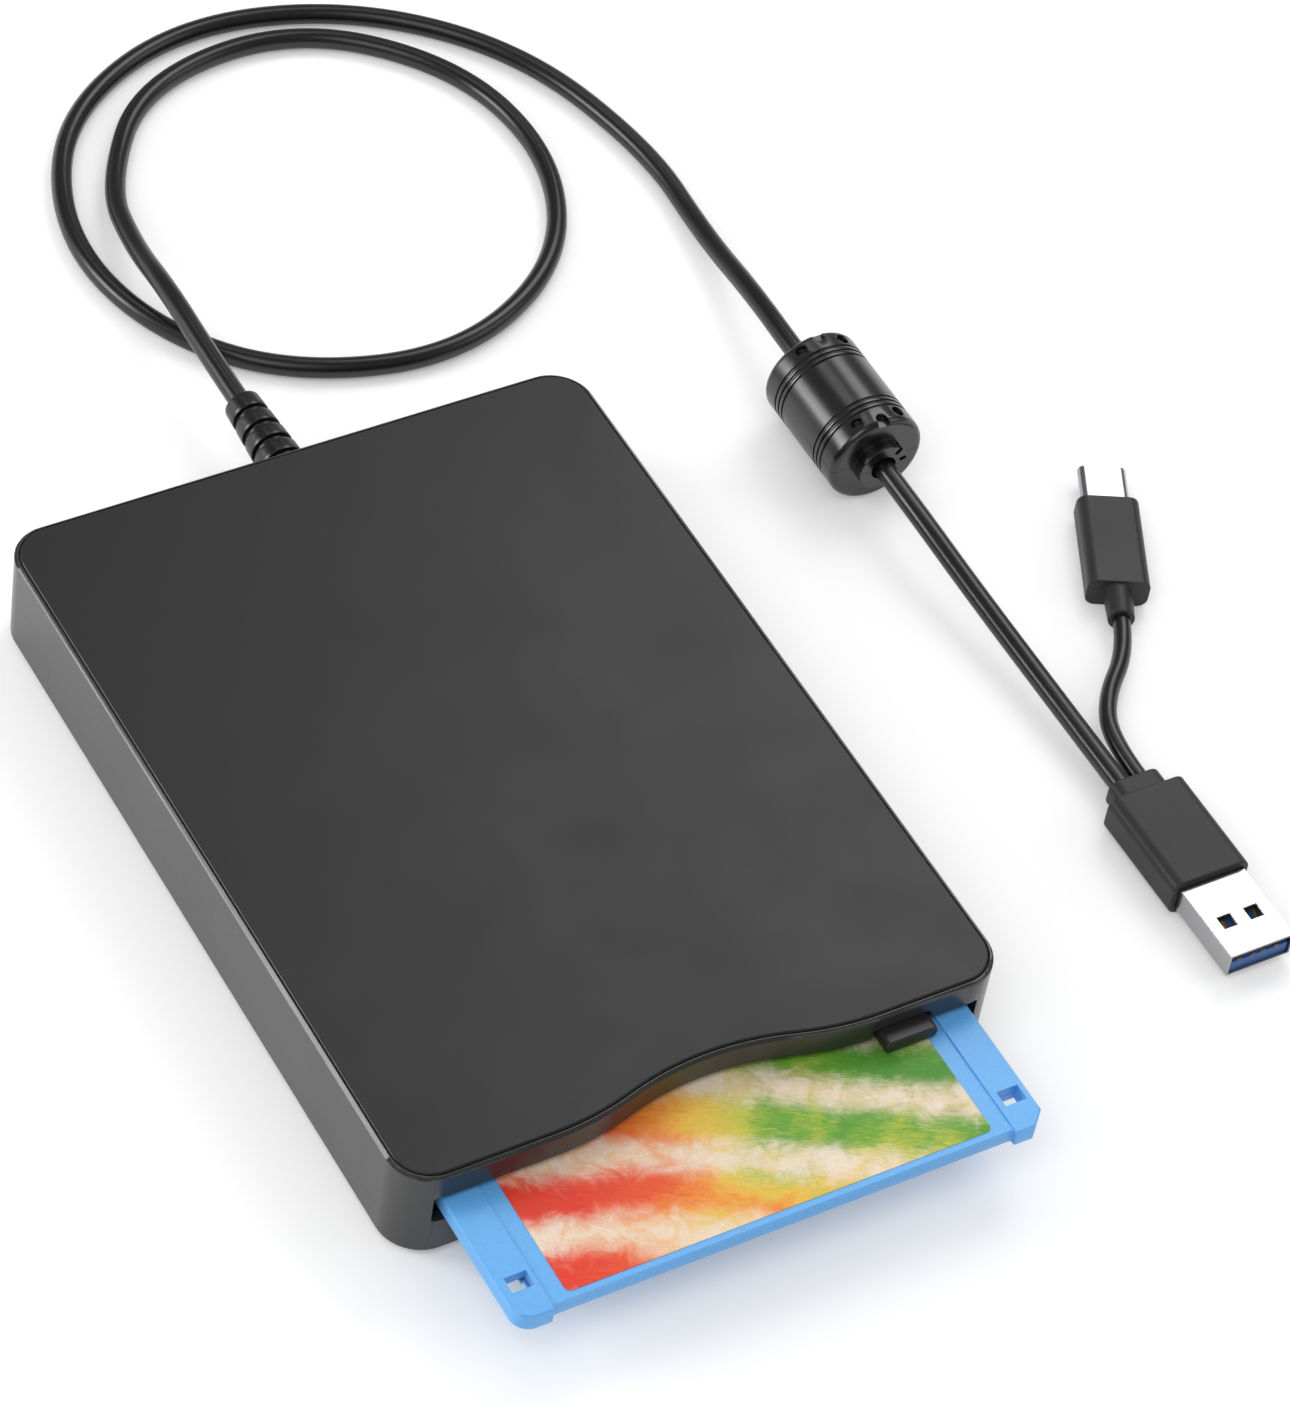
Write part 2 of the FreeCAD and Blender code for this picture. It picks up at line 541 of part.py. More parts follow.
# Route of the cord: out of the relief, down, twice round behind the case, then
# through the moulded core and down to the plug
CORD_ROUTE = (
    (RELIEF_X, BACK + RELIEF_LENGTH, RELIEF_HEIGHT),
    (RELIEF_X, 102.5, RELIEF_HEIGHT),
    (1.8, 118.5, 9.5),
    (3.4, 134.5, 4.8),
    (7.0, 152.0, CORD_FLOOR),
    (23.5, 174.0, CORD_FLOOR),
    (55.0, 178.0, CORD_FLOOR),
    (78.0, 158.0, CORD_FLOOR),
    (82.8, 131.0, CORD_FLOOR),
    (71.0, 106.0, CORD_FLOOR),
    (44.0, 92.5, CORD_FLOOR),
    (14.0, 100.5, CORD_FLOOR),
    (-2.0, 120.5, CORD_FLOOR),
    (-5.0, 145.5, CORD_FLOOR),
    (7.5, 171.5, CORD_FLOOR),
    (35.5, 185.5, CORD_FLOOR),
    (67.0, 179.0, CORD_FLOOR),
    (90.5, 157.5, CORD_FLOOR),
    (99.4, 126.0, CORD_FLOOR),
    (97.6, 102.0, 2.3),
    (95.4, 83.0, 7.0),
    (CORE_X, 66.0, CORE_Z),
    (CORE_X, 29.0, CORE_Z),
    (95.2, 9.0, 5.9),
    (A_CORD_X, -15.0, A_CORD_Z),
    (A_CORD_X, A_NECK_BACK, A_CORD_Z),
)

# Route of the short lead from the USB-A plug to the USB-C plug
PIGTAIL_ROUTE = (
    (A_PIGTAIL_X, A_NECK_BACK, A_CORD_Z),
    (A_PIGTAIL_X, -26.3, A_CORD_Z),
    (104.8, -17.8, 3.1),
    tuple(SLEEVE_END - C_DIRECTION * PIGTAIL_LAST_RUN),
    tuple(SLEEVE_END),
)


def box(x0, x1, y0, y1, z0, z1):
    return Part.makeBox(x1 - x0, y1 - y0, z1 - z0, Vector(x0, y0, z0))


def post(x, y, radius, z0, z1):
    return Part.makeCylinder(radius, z1 - z0, Vector(x, y, z0))


def rod_y(x, z, radius, y0, y1):
    return Part.makeCylinder(radius, y1 - y0, Vector(x, y0, z), Vector(0, 1, 0))


def rod_x(y, z, radius, x0, x1):
    return Part.makeCylinder(radius, x1 - x0, Vector(x0, y, z), Vector(1, 0, 0))


def ring(x, y, outer, inner, z0, z1):
    return post(x, y, outer, z0, z1).cut(post(x, y, inner, z0 - 1, z1 + 1))


def joined(shapes):
    whole = shapes[0]
    for shape in shapes[1:]:
        whole = whole.fuse(shape)
    return whole.removeSplitter()


def group(shapes):
    return Part.makeCompound(shapes)


def mirrored_places(x, y):
    return [(side * x, end * y) for side in (-1, 1) for end in (-1, 1)]


def edges_along(shape, axis):
    """The straight edges that run along one axis, 0, 1 or 2."""
    found = []
    for edge in shape.Edges:
        size = (edge.BoundBox.XLength, edge.BoundBox.YLength, edge.BoundBox.ZLength)
        across = [size[i] for i in range(3) if i != axis]
        if size[axis] > 0.01 and max(across) < 0.001:
            found.append(edge)
    return found


def level_edges(shape, height):
    """The edges that lie flat at one height."""
    found = []
    for edge in shape.Edges:
        bounds = edge.BoundBox
        if abs(bounds.ZMin - height) < 0.001 and abs(bounds.ZMax - height) < 0.001:
            found.append(edge)
    return found


def rounded_box(x0, x1, y0, y1, z0, z1, axis, radius):
    block = box(x0, x1, y0, y1, z0, z1)
    return block.makeFillet(radius, edges_along(block, axis))


def line(a, b):
    return Part.LineSegment(a, b).toShape()


def arc(centre, radius, start, end):
    """A flat arc from one angle to another, in degrees."""
    points = []
    for angle in (start, (start + end) / 2, end):
        turn = math.radians(angle)
        points.append(centre + Vector(radius * math.cos(turn), radius * math.sin(turn), 0))
    return Part.Arc(*points).toShape()


def end_point(edge):
    return edge.valueAt(edge.LastParameter)


def start_point(edge):
    return edge.valueAt(edge.FirstParameter)


def closed_face(arcs):
    """A flat face whose outline is the given arcs in turn, joined by straight lines."""
    edges = []
    for number, edge in enumerate(arcs):
        following = arcs[(number + 1) % len(arcs)]
        edges.append(edge)
        gap = start_point(following) - end_point(edge)
        if gap.Length > 0.001:
            edges.append(line(end_point(edge), start_point(following)))
    return Part.Face(Part.Wire(edges))


def case_outline(inset):
    """The case seen from above, drawn in by an inset, with the finger recess in front."""
    half_x = CASE_WIDTH / 2 - CASE_CORNER
    half_y = CASE_DEPTH / 2 - CASE_CORNER
    corner = CASE_CORNER - inset
    wave_radius = (WAVE_HALF_WIDTH ** 2 + WAVE_DEPTH ** 2) / (4 * WAVE_DEPTH)
    swing = math.degrees(math.asin(WAVE_HALF_WIDTH / (2 * wave_radius)))
    shoulder = wave_radius - inset
    hollow = wave_radius + inset
    shoulder_y = FRONT + wave_radius
    hollow_y = FRONT + WAVE_DEPTH - wave_radius
    left = WAVE_CENTRE_X - WAVE_HALF_WIDTH
    right = WAVE_CENTRE_X + WAVE_HALF_WIDTH
    return closed_face([
        arc(Vector(left, shoulder_y, 0), shoulder, 270, 270 + swing),
        arc(Vector(WAVE_CENTRE_X, hollow_y, 0), hollow, 90 + swing, 90 - swing),
        arc(Vector(right, shoulder_y, 0), shoulder, 270 - swing, 270),
        arc(Vector(half_x, -half_y, 0), corner, 270, 360),
        arc(Vector(half_x, half_y, 0), corner, 0, 90),
        arc(Vector(-half_x, half_y, 0), corner, 90, 180),
        arc(Vector(-half_x, -half_y, 0), corner, 180, 270),
    ])


def prism(face, z0, z1):
    solid = face.extrude(Vector(0, 0, z1 - z0))
    solid.translate(Vector(0, 0, z0))
    return solid


BOSS_PLACES = mirrored_places(CASE_WIDTH / 2 - BOSS_INSET, CASE_DEPTH / 2 - BOSS_INSET)
CHASSIS_SCREW_PLACES = mirrored_places(CHASSIS_SCREW_X, CHASSIS_SCREW_Y)
FOOT_PLACES = mirrored_places(CASE_WIDTH / 2 - FOOT_INSET_X, CASE_DEPTH / 2 - FOOT_INSET_Y)


def case_body():
    """The case's wall all round, with the slot, the button notch and the cord hole."""
    wall = prism(case_outline(0), CASE_BOTTOM, RIM_TOP)
    wall = wall.makeChamfer(RIM_BEVEL, level_edges(wall, RIM_TOP))
    wall = wall.makeChamfer(COVER_BEVEL, level_edges(wall, CASE_BOTTOM))
    wall = wall.cut(prism(case_outline(WALL), CASE_BOTTOM - 1, CASE_TOP + 1))
    wall = wall.cut(prism(case_outline(RIM_LIP), COVER_UNDER, CASE_TOP + 1))
    wall = wall.cut(prism(case_outline(RIM_LIP), CASE_BOTTOM - 1, FLOOR_TOP))
    for x, y in BOSS_PLACES:
        wall = wall.fuse(post(x, y, BOSS_RADIUS, FLOOR_TOP, BOSS_TOP))
        wall = wall.cut(post(x, y, CASE_SCREW_RADIUS + HOLE_CLEARANCE,
                             CASE_BOTTOM, BOSS_TOP - BOSS_TOP_WALL))
    cut_front = FRONT - 1
    cut_back = FRONT + WAVE_DEPTH + WALL + SLOT_PAST_WALL
    slot = rounded_box(-SLOT_HALF, SLOT_HALF, cut_front, cut_back, SLOT_BOTTOM, SLOT_TOP,
                       1, SLOT_CORNER)
    notch_half = BUTTON_WIDTH / 2 + NOTCH_ROOM_SIDE
    notch = rounded_box(
        BUTTON_CENTRE_X - notch_half, BUTTON_CENTRE_X + notch_half,
        cut_front, FRONT + WALL + NOTCH_PAST_WALL,
        SLOT_BOTTOM + NOTCH_OVER_SLOT_BOTTOM, BUTTON_TOP + NOTCH_ROOM_TOP, 1, BUTTON_ROUND)
    wall = wall.cut(slot).cut(notch)
    cord_hole = rod_y(RELIEF_X, RELIEF_HEIGHT, RELIEF_NECK_RADIUS + HOLE_CLEARANCE,
                      BACK - WALL - 1, BACK + 1)
    return wall.cut(cord_hole).removeSplitter()


def top_cover():
    """The flat cover that lies in the upper rim, with two ribs and four clips under it."""
    plate = prism(case_outline(RIM_LIP + COVER_GAP), COVER_UNDER, CASE_TOP)
    plate = plate.makeChamfer(COVER_BEVEL, level_edges(plate, CASE_TOP))
    pieces = [plate]
    for side in (-1, 1):
        rib_x = side * RIB_X
        pieces.append(box(rib_x - RIB_WIDTH / 2, rib_x + RIB_WIDTH / 2,
                          FRONT + RIB_FRONT_INSET, BACK - RIB_BACK_INSET,
                          COVER_UNDER - RIB_HEIGHT, COVER_UNDER))
    clip_outer = CASE_WIDTH / 2 - WALL - COVER_GAP
    for side, y in mirrored_places(1, CLIP_Y):
        faces = sorted((side * clip_outer, side * (clip_outer - CLIP_THICKNESS)))
        pieces.append(box(faces[0], faces[1], y - CLIP_WIDTH / 2, y + CLIP_WIDTH / 2,
                          COVER_UNDER - CLIP_DROP, COVER_UNDER))
    return joined(pieces)


def bottom_cover():
    """The flat cover in the lower rim, with pads for the drive, and seats for screws and feet."""
    plate = prism(case_outline(RIM_LIP + COVER_GAP), CASE_BOTTOM, FLOOR_TOP)
    for x, y in CHASSIS_SCREW_PLACES:
        plate = plate.fuse(post(x, y, PAD_RADIUS, FLOOR_TOP, CHASSIS_UNDER))
    head_top = CASE_BOTTOM + SCREW_HEAD_SINK + SCREW_HEAD_HEIGHT
    for x, y in CHASSIS_SCREW_PLACES:
        plate = plate.cut(post(x, y, CHASSIS_SCREW_RADIUS + HOLE_CLEARANCE, 0, CHASSIS_UNDER + 1))
        plate = plate.cut(post(x, y, CHASSIS_SCREW_HEAD + HOLE_CLEARANCE, 0, head_top))
    for x, y in BOSS_PLACES:
        plate = plate.cut(post(x, y, CASE_SCREW_RADIUS + HOLE_CLEARANCE, 0, FLOOR_TOP + 1))
        plate = plate.cut(post(x, y, CASE_SCREW_HEAD + HOLE_CLEARANCE, 0, head_top))
    for x, y in FOOT_PLACES:
        plate = plate.cut(post(x, y, FOOT_RADIUS + HOLE_CLEARANCE, 0, CASE_BOTTOM + FOOT_SINK))
    return plate.removeSplitter()


def rubber_feet():
    feet = []
    for x, y in FOOT_PLACES:
        foot = post(x, y, FOOT_RADIUS, 0, CASE_BOTTOM + FOOT_SINK)
        feet.append(foot.makeChamfer(FOOT_SINK, level_edges(foot, 0)))
    return group(feet)


def screw(x, y, radius, head_radius, top):
    head_under = CASE_BOTTOM + SCREW_HEAD_SINK
    head_top = head_under + SCREW_HEAD_HEIGHT
    driver = box(x - head_radius / 2, x + head_radius / 2,
                 y - SCREW_CROSS_WIDTH / 2, y + SCREW_CROSS_WIDTH / 2,
                 head_under - 1, head_under + SCREW_CROSS_DEPTH)
    cross = driver.copy()
    cross.rotate(Vector(x, y, 0), Vector(0, 0, 1), 90)
    body = joined([post(x, y, head_radius, head_under, head_top), post(x, y, radius, head_top, top)])
    return body.cut(driver).cut(cross)


def case_screws():
    top = BOSS_TOP - BOSS_TOP_WALL - CASE_SCREW_END_ROOM
    return group([screw(x, y, CASE_SCREW_RADIUS, CASE_SCREW_HEAD, top) for x, y in BOSS_PLACES])


def chassis_screws():
    return group([
        screw(x, y, CHASSIS_SCREW_RADIUS, CHASSIS_SCREW_HEAD, CHASSIS_FLOOR)
        for x, y in CHASSIS_SCREW_PLACES])


def drive_chassis():
    """Folded sheet: a floor, two side walls with upright pin slots, rod clips and spring posts."""
    half = CHASSIS_WIDTH / 2
    pieces = [box(-half, half, CHASSIS_FRONT, CHASSIS_BACK, CHASSIS_UNDER, CHASSIS_FLOOR)]
    for x0, x1 in ((-half, -CHASSIS_INNER), (CHASSIS_INNER, half)):
        pieces.append(box(x0, x1, CHASSIS_FRONT, CHASSIS_WALL_END, CHASSIS_UNDER, CHASSIS_WALL_TOP))
    for y in (ROD_FRONT_Y, ROD_BACK_Y - ROD_CLIP_LENGTH):
        pieces.append(box(ROD_X - ROD_CLIP_HALF, ROD_X + ROD_CLIP_HALF, y, y + ROD_CLIP_LENGTH,
                          CHASSIS_UNDER, ROD_Z + ROD_RADIUS + ROD_CLIP_TOP))
    for side in (-1, 1):
        x = side * SPRING_X
        pieces.append(box(x - SPRING_POST_WIDTH / 2, x + SPRING_POST_WIDTH / 2,
                          SPRING_BACK_Y, SPRING_BACK_Y + SPRING_POST_DEPTH,
                          CHASSIS_UNDER, SLIDE_TOP + SPRING_RADIUS))
    chassis = joined(pieces)
    chassis = chassis.cut(rod_y(ROD_X, ROD_Z, ROD_RADIUS, ROD_FRONT_Y - 1, ROD_BACK_Y + 1))
    slot_half = PIN_RADIUS + PIN_ROOM
    slot_bottom = PIN_HEIGHT - HOLDER_DROP - PIN_RADIUS - PIN_ROOM
    for y in PIN_PLACES_Y:
        chassis = chassis.cut(box(-half - 1, half + 1, y - slot_half, y + slot_half,
                                  slot_bottom, CHASSIS_WALL_TOP + 1))
    for x, y in CHASSIS_SCREW_PLACES:
        chassis = chassis.cut(post(x, y, CHASSIS_SCREW_RADIUS, CHASSIS_UNDER - 1, CHASSIS_FLOOR + 1))
    return chassis.removeSplitter()


def spindle_stator():
    plate = post(0, SPINDLE_Y, STATOR_RADIUS, CHASSIS_FLOOR, CHASSIS_FLOOR + STATOR_BASE)
    return plate.cut(post(0, SPINDLE_Y, BEARING_RADIUS, CHASSIS_FLOOR - 1, SPINDLE_TOP))


def spindle_coils():
    length, width, height = COIL_SIZE
    base = CHASSIS_FLOOR + STATOR_BASE
    coils = []
    for number in range(COIL_COUNT):
        coil = rounded_box(
            COIL_CENTRE - length / 2, COIL_CENTRE + length / 2,
            SPINDLE_Y - width / 2, SPINDLE_Y + width / 2, base, base + height, 2, length / 4)
        coil.rotate(Vector(0, SPINDLE_Y, 0), Vector(0, 0, 1), 360 * number / COIL_COUNT)
        coils.append(coil)
    return group(coils)


def spindle_bearing():
    top = SPINDLE_TOP - ROTOR_SHEET - BEARING_TOP_ROOM
    return ring(0, SPINDLE_Y, BEARING_RADIUS, SHAFT_RADIUS + RUNNING_CLEARANCE, CHASSIS_FLOOR, top)


def spindle_rotor():
    """The motor's cup, with the raised turntable that the disk's hub lies on."""
    plate_top = SPINDLE_TOP - TURNTABLE_STEP
    plate_under = plate_top - ROTOR_SHEET
    cup = joined([
        post(0, SPINDLE_Y, ROTOR_RADIUS, plate_under, plate_top),
        post(0, SPINDLE_Y, TURNTABLE_RADIUS, plate_under, SPINDLE_TOP),
        ring(0, SPINDLE_Y, ROTOR_RADIUS, ROTOR_RADIUS - ROTOR_SHEET, plate_top - ROTOR_SKIRT, plate_top),
    ])
    cup = cup.cut(post(0, SPINDLE_Y, SHAFT_RADIUS, CHASSIS_FLOOR, SPINDLE_TOP + 1))
    return cup.cut(post(DRIVE_PIN_CENTRE, SPINDLE_Y, DRIVE_PIN_RADIUS, plate_under - 1, SPINDLE_TOP + 1))


def rotor_magnet():
    outer = ROTOR_RADIUS - ROTOR_SHEET
    top = SPINDLE_TOP - TURNTABLE_STEP - ROTOR_SHEET
    return ring(0, SPINDLE_Y, outer, outer - MAGNET_THICKNESS, top - MAGNET_HEIGHT, top)


def spindle_shaft():
    return post(0, SPINDLE_Y, SHAFT_RADIUS, CHASSIS_FLOOR + SHAFT_LIFT, SPINDLE_TOP)


def drive_pin():
    return post(DRIVE_PIN_CENTRE, SPINDLE_Y, DRIVE_PIN_RADIUS,
                SPINDLE_TOP - TURNTABLE_STEP - ROTOR_SHEET, SPINDLE_TOP)


def head_carriage():
    """The sliding block that carries both heads, with its bush, its ears and its screw follower."""
    front = HEAD_Y - HEAD_HALF - HEAD_ROOM
    back = front + CARRIAGE_LENGTH
    bush_front = HEAD_Y + BUSH_START
    follower_y = HEAD_Y + FOLLOWER_FROM_HEAD
    pieces = [
        box(-CARRIAGE_HALF_WIDTH, CARRIAGE_RIGHT_HALF, front + CARRIAGE_STEP, back,
            CARRIAGE_UNDER, CARRIAGE_TOP),
        box(-ARM_HALF_WIDTH, ARM_HALF_WIDTH, front, front + CARRIAGE_NOSE,
            CARRIAGE_UNDER, CARRIAGE_TOP),
        box(ROD_X - BUSH_HALF, ROD_X + BUSH_HALF + 1, bush_front, bush_front + BUSH_LENGTH,
            ROD_Z - ROD_RADIUS - BUSH_UNDER, ROD_Z + ROD_RADIUS + BUSH_OVER),
        box(ARM_HALF_WIDTH, SCREW_AXIS_X,
            follower_y - FOLLOWER_LENGTH / 2, follower_y + FOLLOWER_LENGTH / 2,
            CARRIAGE_UNDER, SCREW_Z - LEAD_SCREW_RADIUS - FOLLOWER_GAP),
    ]
    inner = ARM_HALF_WIDTH + EAR_GAP
    for side in (-1, 1):
        faces = sorted((side * inner, side * (inner + EAR_THICKNESS)))
        pieces.append(box(faces[0], faces[1],
                          ARM_PIVOT_Y - EAR_DEPTH / 2, ARM_PIVOT_Y + EAR_DEPTH / 2,
                          CARRIAGE_UNDER, ARM_PIVOT_Z + ARM_PIN_RADIUS + EAR_TOP))
    carriage = joined(pieces)
    bore = rod_y(ROD_X, ROD_Z, ROD_RADIUS + RUNNING_CLEARANCE,
                 bush_front - 1, bush_front + BUSH_LENGTH + 1)
    pin_end = inner + EAR_THICKNESS
    carriage = carriage.cut(bore)
    return carriage.cut(rod_x(ARM_PIVOT_Y, ARM_PIVOT_Z, ARM_PIN_RADIUS, -pin_end - 1, pin_end + 1))


def arm_pivot_pin():
    pin_end = ARM_HALF_WIDTH + EAR_GAP + EAR_THICKNESS
    return rod_x(ARM_PIVOT_Y, ARM_PIVOT_Z, ARM_PIN_RADIUS, -pin_end, pin_end)


def lower_head():
    block = box(-HEAD_HALF, HEAD_HALF, HEAD_Y - HEAD_HALF, HEAD_Y + HEAD_HALF,
                CARRIAGE_TOP, LOWER_HEAD_TOP)
    return block.makeChamfer(LOWER_HEAD_BEVEL, level_edges(block, LOWER_HEAD_TOP))


def upper_head():
    block = box(-HEAD_HALF, HEAD_HALF, HEAD_Y - HEAD_HALF, HEAD_Y + HEAD_HALF,
                UPPER_HEAD_UNDER, ARM_UNDER)
    return block.makeChamfer(UPPER_HEAD_BEVEL, level_edges(block, UPPER_HEAD_UNDER))


def head_arm():
    arm = box(-ARM_HALF_WIDTH, ARM_HALF_WIDTH, HEAD_Y - HEAD_HALF, ARM_PIVOT_Y + ARM_END,
              ARM_UNDER, ARM_TOP)
    barrel = rod_x(ARM_PIVOT_Y, ARM_PIVOT_Z, ARM_PIN_RADIUS + ARM_BARREL_WALL,
                   -ARM_HALF_WIDTH, ARM_HALF_WIDTH)
    opening = box(-ARM_OPENING_HALF, ARM_OPENING_HALF,
                  HEAD_Y + ARM_OPENING_INSET, ARM_PIVOT_Y - ARM_OPENING_INSET,
                  ARM_UNDER - 1, ARM_TOP + 1)
    bore = rod_x(ARM_PIVOT_Y, ARM_PIVOT_Z, ARM_PIN_RADIUS + RUNNING_CLEARANCE,
                 -ARM_HALF_WIDTH - 1, ARM_HALF_WIDTH + 1)
    return arm.fuse(barrel).cut(opening).cut(bore).removeSplitter()


def guide_rod():
    return rod_y(ROD_X, ROD_Z, ROD_RADIUS, ROD_FRONT_Y, ROD_BACK_Y)


def lead_screw():
    return rod_y(SCREW_AXIS_X, SCREW_Z, LEAD_SCREW_RADIUS, LEAD_SCREW_FRONT_Y,
                 STEPPER_FRONT_Y + LEAD_SCREW_INTO_MOTOR)


def stepper_motor():
    back = STEPPER_FRONT_Y + STEPPER_LENGTH
    can = rod_y(SCREW_AXIS_X, SCREW_Z, STEPPER_RADIUS, STEPPER_FRONT_Y, back)
    saddle = box(SCREW_AXIS_X - STEPPER_RADIUS, SCREW_AXIS_X + STEPPER_RADIUS, STEPPER_FRONT_Y, back,
                 CHASSIS_FLOOR, SCREW_Z - STEPPER_RADIUS * STEPPER_SADDLE_SHARE)
    bore = rod_y(SCREW_AXIS_X, SCREW_Z, LEAD_SCREW_RADIUS + RUNNING_CLEARANCE,
                 STEPPER_FRONT_Y - 1, STEPPER_FRONT_Y + LEAD_SCREW_INTO_MOTOR + LEAD_SCREW_END_ROOM)
    return can.fuse(saddle).cut(bore).removeSplitter()


def track_sensor():
    length, width, height = SENSOR_SIZE
    return box(-length, 0, BOARD_BACK_Y - width, BOARD_BACK_Y, CHASSIS_FLOOR, CHASSIS_FLOOR + height)


def control_board():
    return box(BOARD_LEFT_X, BOARD_RIGHT_X, BOARD_FRONT_Y, BOARD_BACK_Y, CHASSIS_FLOOR,
               CHASSIS_FLOOR + BOARD_THICKNESS)


def chip(x, y, size, base):
    width, depth = size
    return box(x - width / 2, x + width / 2, y - depth / 2, y + depth / 2, base, base + CHIP_HEIGHT)


def controller_chips():
    return group([
        chip(BOARD_CENTRE_X + CONTROLLER_PLACE[0], BOARD_FRONT_Y + CONTROLLER_PLACE[1],
             CONTROLLER_SIZE, CHASSIS_FLOOR + BOARD_THICKNESS),
        chip(BOARD_CENTRE_X + DRIVER_PLACE[0], BOARD_FRONT_Y + DRIVER_PLACE[1],
             DRIVER_SIZE, CHASSIS_FLOOR + BOARD_THICKNESS),
        chip(BOARD_RIGHT_X - REGULATOR_INSET[0], BOARD_BACK_Y - REGULATOR_INSET[1],
             REGULATOR_SIZE, CHASSIS_FLOOR + BOARD_THICKNESS),
    ])


def board_spacers():
    spacers = []
    for x in (BOARD_LEFT_X + SPACER_INSET, BOARD_RIGHT_X - SPACER_INSET):
        for y in (BOARD_FRONT_Y + SPACER_INSET, BOARD_BACK_Y - SPACER_INSET):
            spacers.append(post(x, y, SPACER_RADIUS, CHASSIS_FLOOR + BOARD_THICKNESS, UPPER_BOARD))
    return group(spacers)


def usb_bridge_board():
    return box(BOARD_LEFT_X, BOARD_RIGHT_X, BOARD_FRONT_Y, BOARD_BACK_Y, UPPER_BOARD,
               UPPER_BOARD + BOARD_THICKNESS)


def bridge_parts():
    """The converter chip, its crystal and the socket that the cord's wires end in."""
    base = UPPER_BOARD + BOARD_THICKNESS
    length, width, height = LEAD_SOCKET
    chip_y = BOARD_FRONT_Y + CONVERTER_FROM_FRONT
    chip_x = BOARD_RIGHT_X - CONVERTER_INSET
    crystal_x = BOARD_RIGHT_X - CRYSTAL_INSET
    return group([
        chip(chip_x + CONVERTER_SIZE[0] / 2, chip_y + CONVERTER_SIZE[1] / 2, CONVERTER_SIZE, base),
        chip(crystal_x + CRYSTAL_SIZE[0] / 2, chip_y + CRYSTAL_SIZE[1] / 2, CRYSTAL_SIZE, base),
        box(BOARD_RIGHT_X - length, BOARD_RIGHT_X, BOARD_BACK_Y - width, BOARD_BACK_Y,
            base, base + height),
    ])


def flat_cable():
    left = BOARD_CENTRE_X + FLAT_CABLE_OFFSET
    return box(left, left + FLAT_CABLE_WIDTH, BOARD_BACK_Y, BOARD_BACK_Y + FLAT_CABLE_THICKNESS,
               CHASSIS_FLOOR + FLAT_CABLE_END_ROOM,
               UPPER_BOARD + BOARD_THICKNESS - FLAT_CABLE_END_ROOM)


def inner_lead():
    """The cord's wires inside the case, from the strain relief to the socket on the board."""
    length, width, height = LEAD_SOCKET
    socket_y = BOARD_BACK_Y - width / 2
    socket_z = UPPER_BOARD + BOARD_THICKNESS + height / 2
    start_y = BACK - WALL - RELIEF_FLANGE
    route = (
        (RELIEF_X, start_y, RELIEF_HEIGHT),
        (RELIEF_X, start_y - INNER_LEAD_STRAIGHT, RELIEF_HEIGHT),
        (RELIEF_X - INNER_LEAD_SIDESTEP, socket_y + 0.6, RELIEF_HEIGHT + 1),
        (BOARD_RIGHT_X + INNER_LEAD_TO_SOCKET, socket_y, socket_z),
        (BOARD_RIGHT_X, socket_y, socket_z),
    )
    return bent_tube("inner_lead", route, INNER_LEAD_RADIUS)


def holder_plate():
    """The flat top of the disk holder, with the heads' window and the lever's arc slot."""
    plate = box(-HOLDER_OUTER, HOLDER_OUTER, HOLDER_FRONT, HOLDER_BACK_Y, HOLDER_UNDER, HOLDER_TOP)
    window = box(-HOLDER_WINDOW_HALF, HOLDER_WINDOW_HALF, HOLDER_WINDOW_Y, HOLDER_BACK_Y + 1,
                 HOLDER_UNDER - 1, HOLDER_TOP + 1)
    plate = plate.cut(window)
    reach = LEVER_TIP_RADIUS + LEVER_TRACK_ROOM
    track = ring(LEVER_PIVOT_X, LEVER_PIVOT_Y, LEVER_LENGTH + reach, LEVER_LENGTH - reach,
                 HOLDER_UNDER - 1, HOLDER_TOP + 1)
    swing_start = math.radians(LEVER_REST_ANGLE + LEVER_TRACK_END)
    swing_end = math.radians(LEVER_REST_ANGLE - LEVER_SWING - LEVER_TRACK_END)
    far = LEVER_LENGTH * 1.4
    pivot = Vector(LEVER_PIVOT_X, LEVER_PIVOT_Y, 0)
    corner_a = pivot + Vector(far * math.cos(swing_start), far * math.sin(swing_start), 0)
    corner_b = pivot + Vector(far * math.cos(swing_end), far * math.sin(swing_end), 0)
    wedge = Part.Face(Part.makePolygon([pivot, corner_a, corner_b, pivot]))
    return plate.cut(track.common(prism(wedge, HOLDER_UNDER - 1, HOLDER_TOP + 1))).removeSplitter()


def holder_rails():
    """The holder's two side channels, which the disk's edges run in."""
    rails = []
    flange_top = DISK_UNDER - HOLDER_PLAY
    for side in (-1, 1):
        wall = sorted((side * HOLDER_INNER, side * HOLDER_OUTER))
        flange = sorted((side * (HOLDER_INNER - HOLDER_FLANGE), side * HOLDER_OUTER))
        rails.append(joined([
            box(wall[0], wall[1], HOLDER_FRONT, HOLDER_BACK_Y, flange_top - HOLDER_SHEET, HOLDER_UNDER),
            box(flange[0], flange[1], HOLDER_FRONT, HOLDER_BACK_Y,
                flange_top - HOLDER_SHEET, flange_top),
        ]))
    return group(rails)


def holder_pins():
    """Four pins on the channels, which run in the slide's slopes and the chassis's slots."""
    pins = []
    for y in PIN_PLACES_Y:
        for side in (-1, 1):
            ends = sorted((side * HOLDER_OUTER, side * (CHASSIS_WIDTH / 2 - PIN_END_INSET)))
            pins.append(rod_x(y, PIN_HEIGHT, PIN_RADIUS, ends[0], ends[1]))
    return group(pins)


